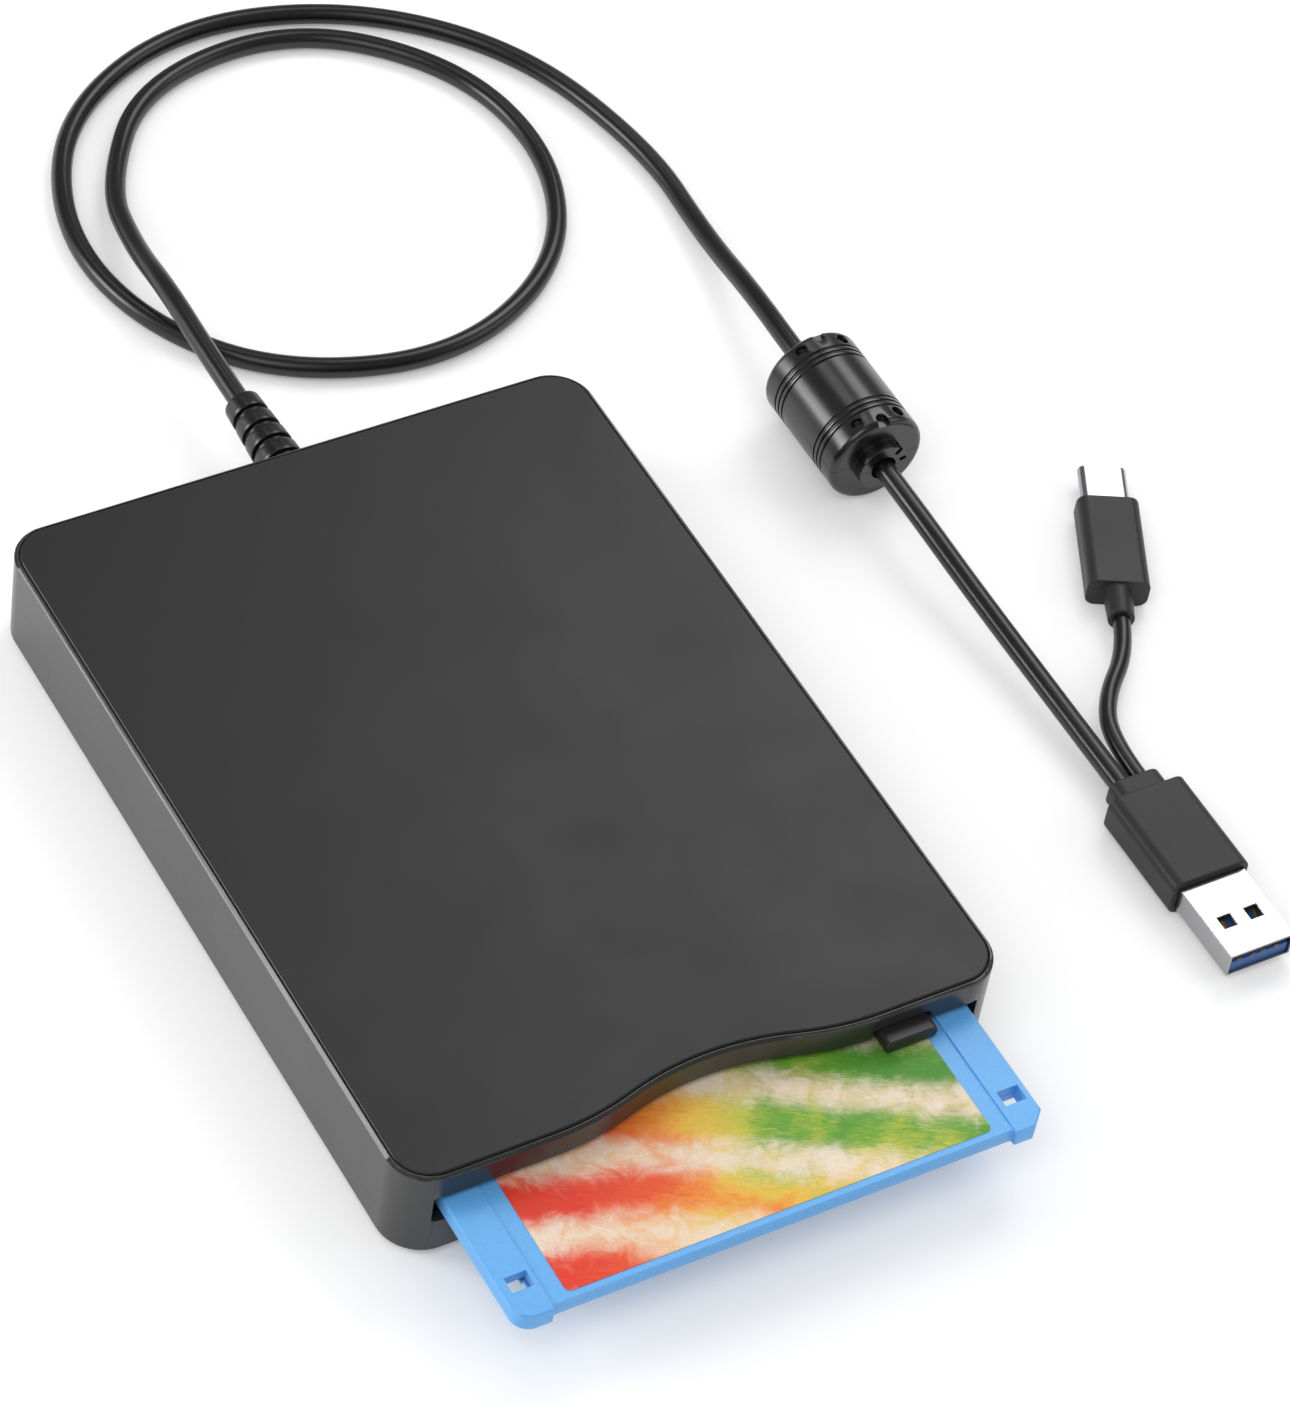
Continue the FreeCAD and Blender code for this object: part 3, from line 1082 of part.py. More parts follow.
def lever_tip_place():
    turn = math.radians(LEVER_REST_ANGLE)
    return (LEVER_PIVOT_X + LEVER_LENGTH * math.cos(turn),
            LEVER_PIVOT_Y + LEVER_LENGTH * math.sin(turn))


def shutter_lever():
    """The lever that pushes the disk's shutter open, with its tip pin in the arc slot."""
    under = HOLDER_TOP + LEVER_LIFT
    top = under + LEVER_THICKNESS
    half = LEVER_WIDTH / 2
    bar = box(LEVER_PIVOT_X, LEVER_PIVOT_X + LEVER_LENGTH,
              LEVER_PIVOT_Y - half, LEVER_PIVOT_Y + half, under, top)
    bar.rotate(Vector(LEVER_PIVOT_X, LEVER_PIVOT_Y, 0), Vector(0, 0, 1), LEVER_REST_ANGLE)
    tip_x, tip_y = lever_tip_place()
    lever = joined([
        bar,
        post(LEVER_PIVOT_X, LEVER_PIVOT_Y, half, under, top),
        post(tip_x, tip_y, half, under, top),
        post(tip_x, tip_y, LEVER_TIP_RADIUS, DISK_TOP + LEVER_TIP_GAP, top),
    ])
    bore = post(LEVER_PIVOT_X, LEVER_PIVOT_Y, LEVER_PIVOT_RADIUS + RUNNING_CLEARANCE,
                under - 1, top + 1)
    return lever.cut(bore)


def lever_pivot():
    return post(LEVER_PIVOT_X, LEVER_PIVOT_Y, LEVER_PIVOT_RADIUS, HOLDER_TOP,
                HOLDER_TOP + LEVER_THICKNESS + 2 * LEVER_LIFT)


def slope_slot(x0, x1, y, room):
    """A sloping slot in the slide's wall: the pin sinks as the slide comes forward."""
    fall = HOLDER_DROP / EJECT_TRAVEL
    high = Vector(0, y - EJECT_OVERTRAVEL, PIN_HEIGHT + EJECT_OVERTRAVEL * fall)
    low = Vector(0, y + EJECT_TRAVEL, PIN_HEIGHT - HOLDER_DROP)
    along = (low - high).normalize()
    across = Vector(0, -along.z, along.y) * room
    start = high - along * 0.2
    end = low + along * 0.2
    corners = [start + across, end + across, end - across, start - across]
    corners = [Vector(x0, corner.y, corner.z) for corner in corners]
    slab = Part.Face(Part.makePolygon(corners + corners[:1])).extrude(Vector(x1 - x0, 0, 0))
    return joined([slab, rod_x(start.y, start.z, room, x0, x1), rod_x(end.y, end.z, room, x0, x1)])


def eject_slide_plate():
    """The sheet slide over the holder: its side walls have slopes, its tongue bears the button."""
    pieces = [box(-SLIDE_OUTER, SLIDE_OUTER, SLIDE_FRONT_Y, SLIDE_BACK_Y, SLIDE_UNDER, SLIDE_TOP)]
    for x0, x1 in ((-SLIDE_OUTER, -SLIDE_INNER), (SLIDE_INNER, SLIDE_OUTER)):
        pieces.append(box(x0, x1, SLIDE_FRONT_Y, SLIDE_BACK_Y,
                          SLIDE_UNDER - SLIDE_WALL_DROP, SLIDE_TOP))
    button_back = FRONT + BUTTON_INSIDE
    pieces.append(box(BUTTON_CENTRE_X - TONGUE_WIDTH / 2, BUTTON_CENTRE_X + TONGUE_WIDTH / 2,
                      button_back - TONGUE_INTO_BUTTON, SLIDE_FRONT_Y + 1, SLIDE_UNDER, SLIDE_TOP))
    slide = joined(pieces)
    slide = slide.cut(box(-SLIDE_WINDOW_HALF, SLIDE_WINDOW_HALF, SLIDE_WINDOW_Y, SLIDE_BACK_Y + 1,
                          SLIDE_UNDER - 1, SLIDE_TOP + 1))
    for side in (-1, 1):
        slide = slide.cut(post(side * SPRING_X, SPINDLE_Y - SLIDE_HOLE_FROM_SPINDLE,
                               SLIDE_HOLE_RADIUS, SLIDE_UNDER - 1, SLIDE_TOP + 1))
    for y in PIN_PLACES_Y:
        slide = slide.cut(slope_slot(-SLIDE_OUTER - 1, -SLIDE_INNER + 1, y, PIN_RADIUS + PIN_ROOM))
        slide = slide.cut(slope_slot(SLIDE_INNER - 1, SLIDE_OUTER + 1, y, PIN_RADIUS + PIN_ROOM))
    return slide.removeSplitter()


def eject_button():
    left = BUTTON_CENTRE_X - BUTTON_WIDTH / 2
    right = BUTTON_CENTRE_X + BUTTON_WIDTH / 2
    button = rounded_box(left, right, FRONT - BUTTON_PROTRUDES, FRONT + BUTTON_INSIDE,
                         BUTTON_UNDER, BUTTON_TOP, 1, BUTTON_ROUND)
    front_edges = [edge for edge in button.Edges
                   if edge.BoundBox.YMax < FRONT - BUTTON_PROTRUDES + 0.001]
    button = button.makeFillet(BUTTON_FRONT_ROUND, front_edges)
    pocket = box(BUTTON_CENTRE_X - TONGUE_WIDTH / 2, BUTTON_CENTRE_X + TONGUE_WIDTH / 2,
                 FRONT + BUTTON_INSIDE - TONGUE_INTO_BUTTON, FRONT + BUTTON_INSIDE + 1,
                 SLIDE_UNDER, SLIDE_TOP)
    return button.cut(pocket)


def eject_springs():
    """Two compression springs that push the slide forward, each as its outer tube."""
    springs = []
    for side in (-1, 1):
        tube = rod_y(side * SPRING_X, SLIDE_TOP, SPRING_RADIUS, SLIDE_BACK_Y, SPRING_BACK_Y)
        bore = rod_y(side * SPRING_X, SLIDE_TOP, SPRING_BORE, SLIDE_BACK_Y - 1, SPRING_BACK_Y + 1)
        springs.append(tube.cut(bore))
    return group(springs)


def disk_outline():
    """The disk from above: ears at its back end, one rounded and one cut corner there."""
    half = DISK_WIDTH / 2
    ear = half - EAR_WIDTH
    small = DISK_LEAD_CORNER
    ear_end = DISK_BACK + EAR_LENGTH
    corners = [
        arc(Vector(-half + DISK_CORNER, DISK_BACK + DISK_CORNER, 0), DISK_CORNER, 180, 270),
        arc(Vector(-ear - EAR_ROUND, DISK_BACK + EAR_ROUND, 0), EAR_ROUND, 270, 360),
        arc(Vector(-ear + EAR_ROUND, ear_end - EAR_ROUND, 0), EAR_ROUND, 180, 90),
        arc(Vector(ear - EAR_ROUND, ear_end - EAR_ROUND, 0), EAR_ROUND, 90, 0),
        arc(Vector(ear + EAR_ROUND, DISK_BACK + EAR_ROUND, 0), EAR_ROUND, 180, 270),
    ]
    cut_corner = [
        Vector(half - DISK_CHAMFER, DISK_BACK, 0),
        Vector(half, DISK_BACK + DISK_CHAMFER, 0),
    ]
    lead_corners = [
        arc(Vector(half - small, DISK_LEAD - small, 0), small, 0, 90),
        arc(Vector(-half + small, DISK_LEAD - small, 0), small, 90, 180),
    ]
    return closed_face(corners + [line(*cut_corner)] + lead_corners)


def square_holes(z0, z1):
    back = DISK_BACK + HOLE_FROM_EAR_END
    left = -DISK_WIDTH / 2 + HOLE_FROM_LEFT
    right = DISK_WIDTH / 2 - HOLE_FROM_RIGHT
    return group([
        box(left, left + HOLE_WIDTH, back, back + HOLE_LENGTH, z0, z1),
        box(right - HOLE_WIDTH, right, back, back + HOLE_LENGTH, z0, z1),
    ])


def head_window(z0, z1):
    lead = DISK_LEAD - WINDOW_FROM_LEAD
    return box(-WINDOW_WIDTH / 2, WINDOW_WIDTH / 2, lead - WINDOW_LENGTH, lead, z0, z1)


def shutter_space():
    """The recess round the disk's leading end that the shutter slides in."""
    left = SHUTTER_LEFT - SHUTTER_END_ROOM
    right = SHUTTER_LEFT + SHUTTER_WIDTH + SHUTTER_TRAVEL + SHUTTER_END_ROOM
    back = DISK_LEAD - SHUTTER_LENGTH - SHUTTER_END_ROOM
    outside = box(left, right, back, DISK_LEAD + 1, DISK_UNDER - 1, DISK_TOP + 1)
    inside = box(left - 1, right + 1, back - 1, DISK_LEAD - SHUTTER_RECESS,
                 DISK_UNDER + SHUTTER_RECESS, DISK_TOP - SHUTTER_RECESS)
    return outside.cut(inside)


def disk_half(z0, z1, rounded_level, media_z0, media_z1):
    """One half of the disk's hard shell, hollow for the media."""
    half = prism(disk_outline(), z0, z1)
    half = half.makeChamfer(DISK_EDGE_ROUND, level_edges(half, rounded_level))
    half = half.cut(post(0, HUB_Y, MEDIA_RADIUS + MEDIA_SIDE_ROOM, media_z0, media_z1))
    half = half.cut(square_holes(z0 - 1, z1 + 1))
    half = half.cut(head_window(z0 - 1, z1 + 1))
    return half.cut(shutter_space())


def disk_top_shell():
    shell = disk_half(DISK_MIDDLE, DISK_TOP, DISK_TOP, DISK_MIDDLE - 1, DISK_MIDDLE + MEDIA_ROOM / 2)
    ear = DISK_WIDTH / 2 - EAR_WIDTH
    recess = box(-ear, ear, DISK_BACK - 1, DISK_BACK + LABEL_RECESS_LENGTH,
                 DISK_TOP - LABEL_RECESS, DISK_TOP + 1)
    return shell.cut(recess).removeSplitter()


def tab_space():
    """The pocket that the write-protect tab slides in, open to the underside."""
    left = -DISK_WIDTH / 2 + HOLE_FROM_LEFT - TAB_MARGIN - TAB_CLEARANCE
    right = left + HOLE_WIDTH + 2 * (TAB_MARGIN + TAB_CLEARANCE)
    back = DISK_BACK + HOLE_FROM_EAR_END - TAB_MARGIN - TAB_CLEARANCE
    front = back + 2 * (HOLE_LENGTH + 2 * TAB_MARGIN) + 3 * TAB_CLEARANCE
    z0 = DISK_MIDDLE - TAB_THICKNESS - TAB_CLEARANCE
    pocket = box(left, right, back, front, z0, DISK_MIDDLE + 1)
    slit = box(left + TAB_SLIT_MARGIN, right - TAB_SLIT_MARGIN,
               back + TAB_SLIT_MARGIN, front - TAB_SLIT_MARGIN, DISK_UNDER - 1, DISK_MIDDLE)
    return pocket.fuse(slit)


def disk_bottom_shell():
    shell = disk_half(DISK_UNDER, DISK_MIDDLE, DISK_UNDER,
                      DISK_MIDDLE - MEDIA_ROOM / 2, DISK_MIDDLE + 1)
    shell = shell.cut(post(0, HUB_Y, HUB_OPENING_RADIUS, DISK_UNDER - 1, DISK_MIDDLE))
    return shell.cut(tab_space()).removeSplitter()


def write_protect_tab():
    left = -DISK_WIDTH / 2 + HOLE_FROM_LEFT - TAB_MARGIN
    right = left + HOLE_WIDTH + 2 * TAB_MARGIN
    start = DISK_BACK + HOLE_FROM_EAR_END + HOLE_LENGTH + TAB_MARGIN + TAB_CLEARANCE
    end = start + HOLE_LENGTH + TAB_MARGIN
    z0 = DISK_MIDDLE - TAB_THICKNESS
    plate = box(left, right, start, end, z0, DISK_MIDDLE - 0.05)
    grip = box(left + TAB_GRIP_MARGIN, right - TAB_GRIP_MARGIN,
               start + TAB_SLIT_MARGIN, end - TAB_SLIT_MARGIN, DISK_UNDER + 0.1, z0 + 0.1)
    return joined([plate, grip])


def disk_label():
    back = DISK_BACK + EAR_LENGTH + LABEL_MARGIN
    base = DISK_TOP - LABEL_RECESS
    return rounded_box(-LABEL_WIDTH / 2, LABEL_WIDTH / 2, back, back + LABEL_LENGTH,
                       base, base + LABEL_THICKNESS, 2, LABEL_CORNER)


def disk_shutter():
    """The sheet sleeve over the leading end, with its own window in each face."""
    right = SHUTTER_LEFT + SHUTTER_WIDTH
    back = DISK_LEAD - SHUTTER_LENGTH
    outer_gap = SHUTTER_RECESS - SHUTTER_SHEET - SHUTTER_GAP
    outside = box(SHUTTER_LEFT, right, back, DISK_LEAD - outer_gap,
                  DISK_UNDER + outer_gap, DISK_TOP - outer_gap)
    inner = SHUTTER_SHEET + outer_gap
    inside = box(SHUTTER_LEFT - 1, right + 1, back - 1, DISK_LEAD - inner,
                 DISK_UNDER + inner, DISK_TOP - inner)
    lead = DISK_LEAD - WINDOW_FROM_LEAD
    window = box(SHUTTER_WINDOW_LEFT, SHUTTER_WINDOW_LEFT + SHUTTER_WINDOW_WIDTH,
                 lead - WINDOW_LENGTH, lead, DISK_UNDER - 1, DISK_TOP + 1)
    return outside.cut(inside).cut(window)


def disk_media():
    z0 = DISK_MIDDLE - MEDIA_THICKNESS / 2
    return ring(0, HUB_Y, MEDIA_RADIUS, HUB_RADIUS - 1.5, z0, z0 + MEDIA_THICKNESS)


def disk_hub():
    """The metal hub: a dished plate with a square hole, a drive hole and a flange."""
    under = DISK_UNDER + HUB_RECESS
    flange_top = DISK_MIDDLE - MEDIA_THICKNESS / 2
    hub = joined([
        post(0, HUB_Y, HUB_RADIUS, under, under + HUB_SHEET),
        ring(0, HUB_Y, HUB_RADIUS, HUB_RADIUS - HUB_WALL, under, flange_top),
        ring(0, HUB_Y, HUB_FLANGE_RADIUS, HUB_RADIUS - HUB_WALL, flange_top - HUB_SHEET / 2, flange_top),
    ])
    half = HUB_SQUARE / 2
    hub = hub.cut(box(-half, half, HUB_Y - half, HUB_Y + half, under - 1, under + 1))
    return hub.cut(box(DRIVE_PIN_CENTRE - DRIVE_HOLE_WIDTH / 2, DRIVE_PIN_CENTRE + DRIVE_HOLE_OUTWARD,
                       HUB_Y - DRIVE_HOLE_LENGTH / 2, HUB_Y + DRIVE_HOLE_LENGTH / 2,
                       under - 1, under + HUB_SHEET))


def disk_liners():
    liners = []
    low = DISK_MIDDLE - MEDIA_ROOM / 2
    high = DISK_MIDDLE + MEDIA_ROOM / 2
    for z0 in (low, high - LINER_THICKNESS):
        liner = ring(0, HUB_Y, MEDIA_RADIUS, LINER_INNER_RADIUS, z0, z0 + LINER_THICKNESS)
        liners.append(liner.cut(head_window(z0 - 1, z0 + 1)))
    return group(liners)


def strain_relief():
    """The ribbed boot at the back wall, with its neck and flange inside the case."""
    root = Vector(RELIEF_X, BACK, RELIEF_HEIGHT)
    along = Vector(0, 1, 0)
    boot = Part.makeCone(RELIEF_ROOT_RADIUS, RELIEF_TIP_RADIUS, RELIEF_LENGTH, root, along)
    pitch = RELIEF_LENGTH / (RELIEF_GROOVES + 1)
    for number in range(1, RELIEF_GROOVES + 1):
        place = number * pitch
        share = place / RELIEF_LENGTH
        radius = RELIEF_ROOT_RADIUS + (RELIEF_TIP_RADIUS - RELIEF_ROOT_RADIUS) * share
        start = BACK + place - RELIEF_GROOVE_WIDTH / 2
        end = BACK + place + RELIEF_GROOVE_WIDTH / 2
        groove = rod_y(RELIEF_X, RELIEF_HEIGHT, radius + 1, start, end)
        core = rod_y(RELIEF_X, RELIEF_HEIGHT, radius - RELIEF_GROOVE_DEPTH, start, end)
        boot = boot.cut(groove.cut(core))
    neck = rod_y(RELIEF_X, RELIEF_HEIGHT, RELIEF_NECK_RADIUS, BACK - WALL, BACK)
    flange = rod_y(RELIEF_X, RELIEF_HEIGHT, RELIEF_FLANGE_RADIUS,
                   BACK - WALL - RELIEF_FLANGE, BACK - WALL)
    return joined([boot, neck, flange])


def bent_tube(name, route, radius):
    """A tube along straight runs joined by tangent arcs, each as wide as its two runs allow."""
    points = [Vector(*place) for place in route]
    edges = []
    radii = []
    length = 0.0
    run_start = points[0]
    for before, corner, after in zip(points, points[1:], points[2:]):
        incoming = (corner - before).normalize()
        outgoing = (after - corner).normalize()
        turn = incoming.getAngle(outgoing)
        tangent = 0.45 * min((corner - before).Length, (after - corner).Length)
        bend = tangent / math.tan(turn / 2)
        arc_start = corner - incoming * tangent
        arc_end = corner + outgoing * tangent
        inward = (outgoing - incoming).normalize()
        middle = corner + inward * (bend / math.cos(turn / 2) - bend)
        edges.append(line(run_start, arc_start))
        edges.append(Part.Arc(arc_start, middle, arc_end).toShape())
        length += (arc_start - run_start).Length + bend * turn
        radii.append(round(bend, 1))
        run_start = arc_end
    edges.append(line(run_start, points[-1]))
    length += (points[-1] - run_start).Length
    profile = Part.Wire(Part.makeCircle(radius, points[0], points[1] - points[0]))
    tube = Part.Wire(edges).makePipeShell([profile], True, False)
    expected = math.pi * radius ** 2 * length
    print(name, "length", round(length, 1), "radii", radii)
    print(name, "volume over section times length", round(tube.Volume / expected, 5))
    return tube


def usb_cord():
    return bent_tube("usb_cord", CORD_ROUTE, CORD_DIAMETER / 2)


def pigtail_cord():
    return bent_tube("pigtail_cord", PIGTAIL_ROUTE, PIGTAIL_DIAMETER / 2)


def round_the_core(angle, shape):
    """Turns a shape about the core's axis, from the top towards +X."""
    shape.rotate(Vector(CORE_X, 0, CORE_Z), Vector(0, 1, 0), angle)
    return shape


def core_pits():
    """What is cut from the barrel: blind holes, and a round-ended notch that runs out at each end."""
    radius = CORE_DIAMETER / 2
    hole_floor = CORE_Z + radius - CORE_HOLE_DEPTH
    notch_floor = CORE_Z + radius - CORE_NOTCH_DEPTH
    above = CORE_Z + radius + 1
    pits = []
    for end_y, inward in ((CORE_FRONT_Y, 1), (CORE_BACK_Y, -1)):
        hole_y = end_y + inward * CORE_HOLE_FROM_END
        for side_angle in (-CORE_HOLE_ANGLE, CORE_HOLE_ANGLE):
            for half_turn in (0, 180):
                hole = post(CORE_X, hole_y, CORE_HOLE_RADIUS, hole_floor, above)
                pits.append(round_the_core(side_angle + half_turn, hole))
        notch_y = end_y + inward * CORE_NOTCH_LENGTH
        outside_y = end_y - inward * CORE_COLLAR
        y0, y1 = sorted((notch_y, outside_y))
        pits.append(post(CORE_X, notch_y, CORE_NOTCH_HALF, notch_floor, above))
        pits.append(box(CORE_X - CORE_NOTCH_HALF, CORE_X + CORE_NOTCH_HALF, y0, y1, notch_floor, above))
    return pits


def collar_slots():
    """Slots along the collars' right side, where the cord's clamp shows."""
    floor = CORE_Z + CORE_COLLAR_RADIUS - COLLAR_SLOT_DEPTH
    half = COLLAR_SLOT_WIDTH / 2
    slots = []
    near = (CORE_FRONT_Y - CORE_COLLAR - 1, CORE_FRONT_Y)
    far = (CORE_BACK_Y, CORE_BACK_Y + CORE_COLLAR + 1)
    for y0, y1 in (near, far):
        for angle in COLLAR_SLOT_ANGLES:
            slot = box(CORE_X - half, CORE_X + half, y0, y1, floor, CORE_Z + CORE_COLLAR_RADIUS + 1)
            slots.append(round_the_core(angle, slot))
    return slots


def core_housing():
    """The moulded housing round the ferrite, whole: rounded ends, collars and fine grooves."""
    radius = CORE_DIAMETER / 2
    barrel = rod_y(CORE_X, CORE_Z, radius, CORE_FRONT_Y, CORE_BACK_Y)
    barrel = barrel.makeFillet(CORE_ROUND, barrel.Edges[0:1] + barrel.Edges[2:3])
    for number in range(CORE_GROOVES):
        offset = CORE_GROOVE_START + number * CORE_GROOVE_PITCH
        for y in (CORE_FRONT_Y + offset, CORE_BACK_Y - offset - CORE_GROOVE_WIDTH):
            groove = rod_y(CORE_X, CORE_Z, radius + 1, y, y + CORE_GROOVE_WIDTH)
            core = rod_y(CORE_X, CORE_Z, radius - CORE_GROOVE_DEPTH, y, y + CORE_GROOVE_WIDTH)
            barrel = barrel.cut(groove.cut(core))
    for pit in core_pits():
        barrel = barrel.cut(pit)
    collar = rod_y(CORE_X, CORE_Z, CORE_COLLAR_RADIUS,
                   CORE_FRONT_Y - CORE_COLLAR, CORE_BACK_Y + CORE_COLLAR)
    for slot in collar_slots():
        collar = collar.cut(slot)
    hollow = rod_y(CORE_X, CORE_Z, radius - CORE_WALL,
                   CORE_FRONT_Y + CORE_END_WALL, CORE_BACK_Y - CORE_END_WALL)
    bore = rod_y(CORE_X, CORE_Z, CORE_BORE_RADIUS,
                 CORE_FRONT_Y - CORE_COLLAR - 1, CORE_BACK_Y + CORE_COLLAR + 1)
    return barrel.fuse(collar).cut(hollow).cut(bore).removeSplitter()


def core_half(upper):
    front = CORE_FRONT_Y - CORE_COLLAR - 1
    back = CORE_BACK_Y + CORE_COLLAR + 1
    z0, z1 = (CORE_Z, CORE_DIAMETER + 1) if upper else (-1, CORE_Z)
    side = box(CORE_X - CORE_DIAMETER, CORE_X + CORE_DIAMETER, front, back, z0, z1)
    return core_housing().common(side)


def core_case_lower():
    return core_half(False)


def core_case_upper():
    return core_half(True)


def ferrite_core():
    front = CORE_FRONT_Y + CORE_END_WALL
    back = CORE_BACK_Y - CORE_END_WALL
    outer = CORE_DIAMETER / 2 - CORE_WALL - FERRITE_CLEARANCE
    ferrite = rod_y(CORE_X, CORE_Z, outer, front, back)
    return ferrite.cut(rod_y(CORE_X, CORE_Z, CORE_BORE_RADIUS, front - 1, back + 1))


def usb_a_overmould():
    body = rounded_box(A_X - A_WIDTH / 2, A_X + A_WIDTH / 2, A_FRONT_Y, A_BACK_Y, 0, A_HEIGHT,
                       1, A_ROUND)
    neck_z = (A_HEIGHT - NECK_HEIGHT) / 2
    neck = rounded_box(A_X - NECK_WIDTH / 2, A_X + NECK_WIDTH / 2, A_BACK_Y - 1, A_NECK_BACK,
                       neck_z, neck_z + NECK_HEIGHT, 1, A_ROUND)
    seat = box(A_X - A_SHELL_WIDTH / 2, A_X + A_SHELL_WIDTH / 2, A_FRONT_Y - 1, A_FRONT_Y + A_SHELL_SEAT,
               (A_HEIGHT - A_SHELL_HEIGHT) / 2, (A_HEIGHT + A_SHELL_HEIGHT) / 2)
    return body.fuse(neck).cut(seat).removeSplitter()


def usb_a_shell():
    """The pressed metal shell, open in front, with two square windows on each face."""
    back = A_FRONT_Y + A_SHELL_SEAT
    front = A_FRONT_Y - A_SHELL_LENGTH
    z0 = (A_HEIGHT - A_SHELL_HEIGHT) / 2
    z1 = z0 + A_SHELL_HEIGHT
    half = A_SHELL_WIDTH / 2
    sheet = A_SHELL_SHEET
    shell = box(A_X - half, A_X + half, front, back, z0, z1)
    shell = shell.cut(box(A_X - half + sheet, A_X + half - sheet, front - 1, back - 1,
                          z0 + sheet, z1 - sheet))
    for side in (-1, 1):
        x = A_X + side * A_WINDOW_SPACING / 2
        y = front + A_WINDOW_FROM_TIP
        shell = shell.cut(box(x - A_WINDOW / 2, x + A_WINDOW / 2, y - A_WINDOW / 2, y + A_WINDOW / 2,
                              z0 - 1, z1 + 1))
    return shell


def usb_a_tongue():
    back = A_FRONT_Y + A_SHELL_SEAT - 1
    front = A_FRONT_Y - A_SHELL_LENGTH + A_TONGUE_SETBACK
    z0 = (A_HEIGHT - A_SHELL_HEIGHT) / 2 + A_SHELL_SHEET
    return box(A_X - A_TONGUE_WIDTH / 2, A_X + A_TONGUE_WIDTH / 2, front, back,
               z0, z0 + A_TONGUE_HEIGHT)


def along_c(shape):
    """Turns a shape made along +X from the origin to lie along the USB-C plug."""
    shape.rotate(Vector(0, 0, 0), Vector(0, 0, 1), C_ANGLE)
    shape.translate(Vector(C_ROOT_X, C_ROOT_Y, 0))
    return shape


def usb_c_overmould():
    body = rounded_box(0, C_LENGTH, -C_WIDTH / 2, C_WIDTH / 2, 0, C_HEIGHT, 0, C_ROUND)
    sleeve = Part.makeCone(SLEEVE_RADIUS, SLEEVE_RADIUS + SLEEVE_FLARE, SLEEVE_LENGTH + 1,
                           Vector(-SLEEVE_LENGTH, 0, C_CORD_Z), Vector(1, 0, 0))
    half = C_SHELL_HEIGHT / 2
    seat = rounded_box(C_LENGTH - C_SHELL_SEAT, C_LENGTH + 1, -C_SHELL_WIDTH / 2, C_SHELL_WIDTH / 2,
                       C_CORD_Z - half, C_CORD_Z + half, 0, half - C_SHELL_FLAT)
    return along_c(body.fuse(sleeve).cut(seat).removeSplitter())


def usb_c_shell():
    half = C_SHELL_HEIGHT / 2
    inner = half - C_SHELL_SHEET
    front = C_LENGTH + C_SHELL_LENGTH
    shell = rounded_box(C_LENGTH - C_SHELL_SEAT, front, -C_SHELL_WIDTH / 2, C_SHELL_WIDTH / 2,
                        C_CORD_Z - half, C_CORD_Z + half, 0, half - C_SHELL_FLAT)
    side = C_SHELL_WIDTH / 2 - C_SHELL_SHEET
    hollow = rounded_box(C_LENGTH - C_SHELL_SEAT + 1, front + 1, -side, side,
                         C_CORD_Z - inner, C_CORD_Z + inner, 0, inner - C_SHELL_FLAT)
    return along_c(shell.cut(hollow))


def usb_c_tongue():
    """The plastic lining inside the shell, open in the middle for the socket's tongue."""
    half = C_SHELL_HEIGHT / 2 - C_SHELL_SHEET
    front = C_LENGTH + C_SHELL_LENGTH - C_TONGUE_SETBACK
    side = C_SHELL_WIDTH / 2 - C_SHELL_SHEET
    lining = rounded_box(C_LENGTH - C_SHELL_SEAT + 1, front, -side, side,
                         C_CORD_Z - half, C_CORD_Z + half, 0, half - C_SHELL_FLAT)
    opening = box(C_LENGTH + 1, front + 1, -C_TONGUE_WIDTH / 2, C_TONGUE_WIDTH / 2,
                  C_CORD_Z - C_TONGUE_HEIGHT / 2, C_CORD_Z + C_TONGUE_HEIGHT / 2)
    return along_c(lining.cut(opening))


SUB_PARTS = (
    case_body, top_cover, bottom_cover, rubber_feet, case_screws, chassis_screws,
    drive_chassis, spindle_stator, spindle_coils, spindle_bearing, spindle_rotor,
    rotor_magnet, spindle_shaft, drive_pin, head_carriage, arm_pivot_pin, lower_head,
    upper_head, head_arm, guide_rod, lead_screw, stepper_motor, track_sensor,
    control_board, controller_chips, board_spacers, usb_bridge_board, bridge_parts,
    flat_cable, inner_lead, holder_plate, holder_rails, holder_pins, shutter_lever,
    lever_pivot, eject_slide_plate, eject_button, eject_springs, disk_top_shell,
    disk_bottom_shell, write_protect_tab, disk_label, disk_shutter, disk_media,
    disk_hub, disk_liners, strain_relief, usb_cord, pigtail_cord, core_case_lower,
    core_case_upper, ferrite_core, usb_a_overmould, usb_a_shell, usb_a_tongue,
    usb_c_overmould, usb_c_shell, usb_c_tongue,
)

os.makedirs("parts", exist_ok=True)
for make in SUB_PARTS:
    shape = make()
    print(make.__name__, len(shape.Solids), "solids", round(shape.Volume, 2), "mm3", shape.isValid())
    shape.exportStep(os.path.join("parts", make.__name__ + ".step"))
print("disk load travel", round(DISK_LOAD_TRAVEL, 3))
print("case", round(CASE_WIDTH, 3), round(CASE_DEPTH, 3), round(CASE_HEIGHT, 3))
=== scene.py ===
# %% [markdown]
# # An external floppy disk drive
#
# The drive is a flat grey plastic box with a 3.5 inch disk half way into its slot. Its
# cord goes about one and a half times round behind it, through a moulded core, to a
# USB-A plug with a short lead to a USB-C plug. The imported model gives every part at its
# real size and place, so this lesson is about finish: soft edges, plastics, metals, a
# printed label and cords.

# %% Load the frame
import math
import bpy
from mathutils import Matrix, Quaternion, Vector


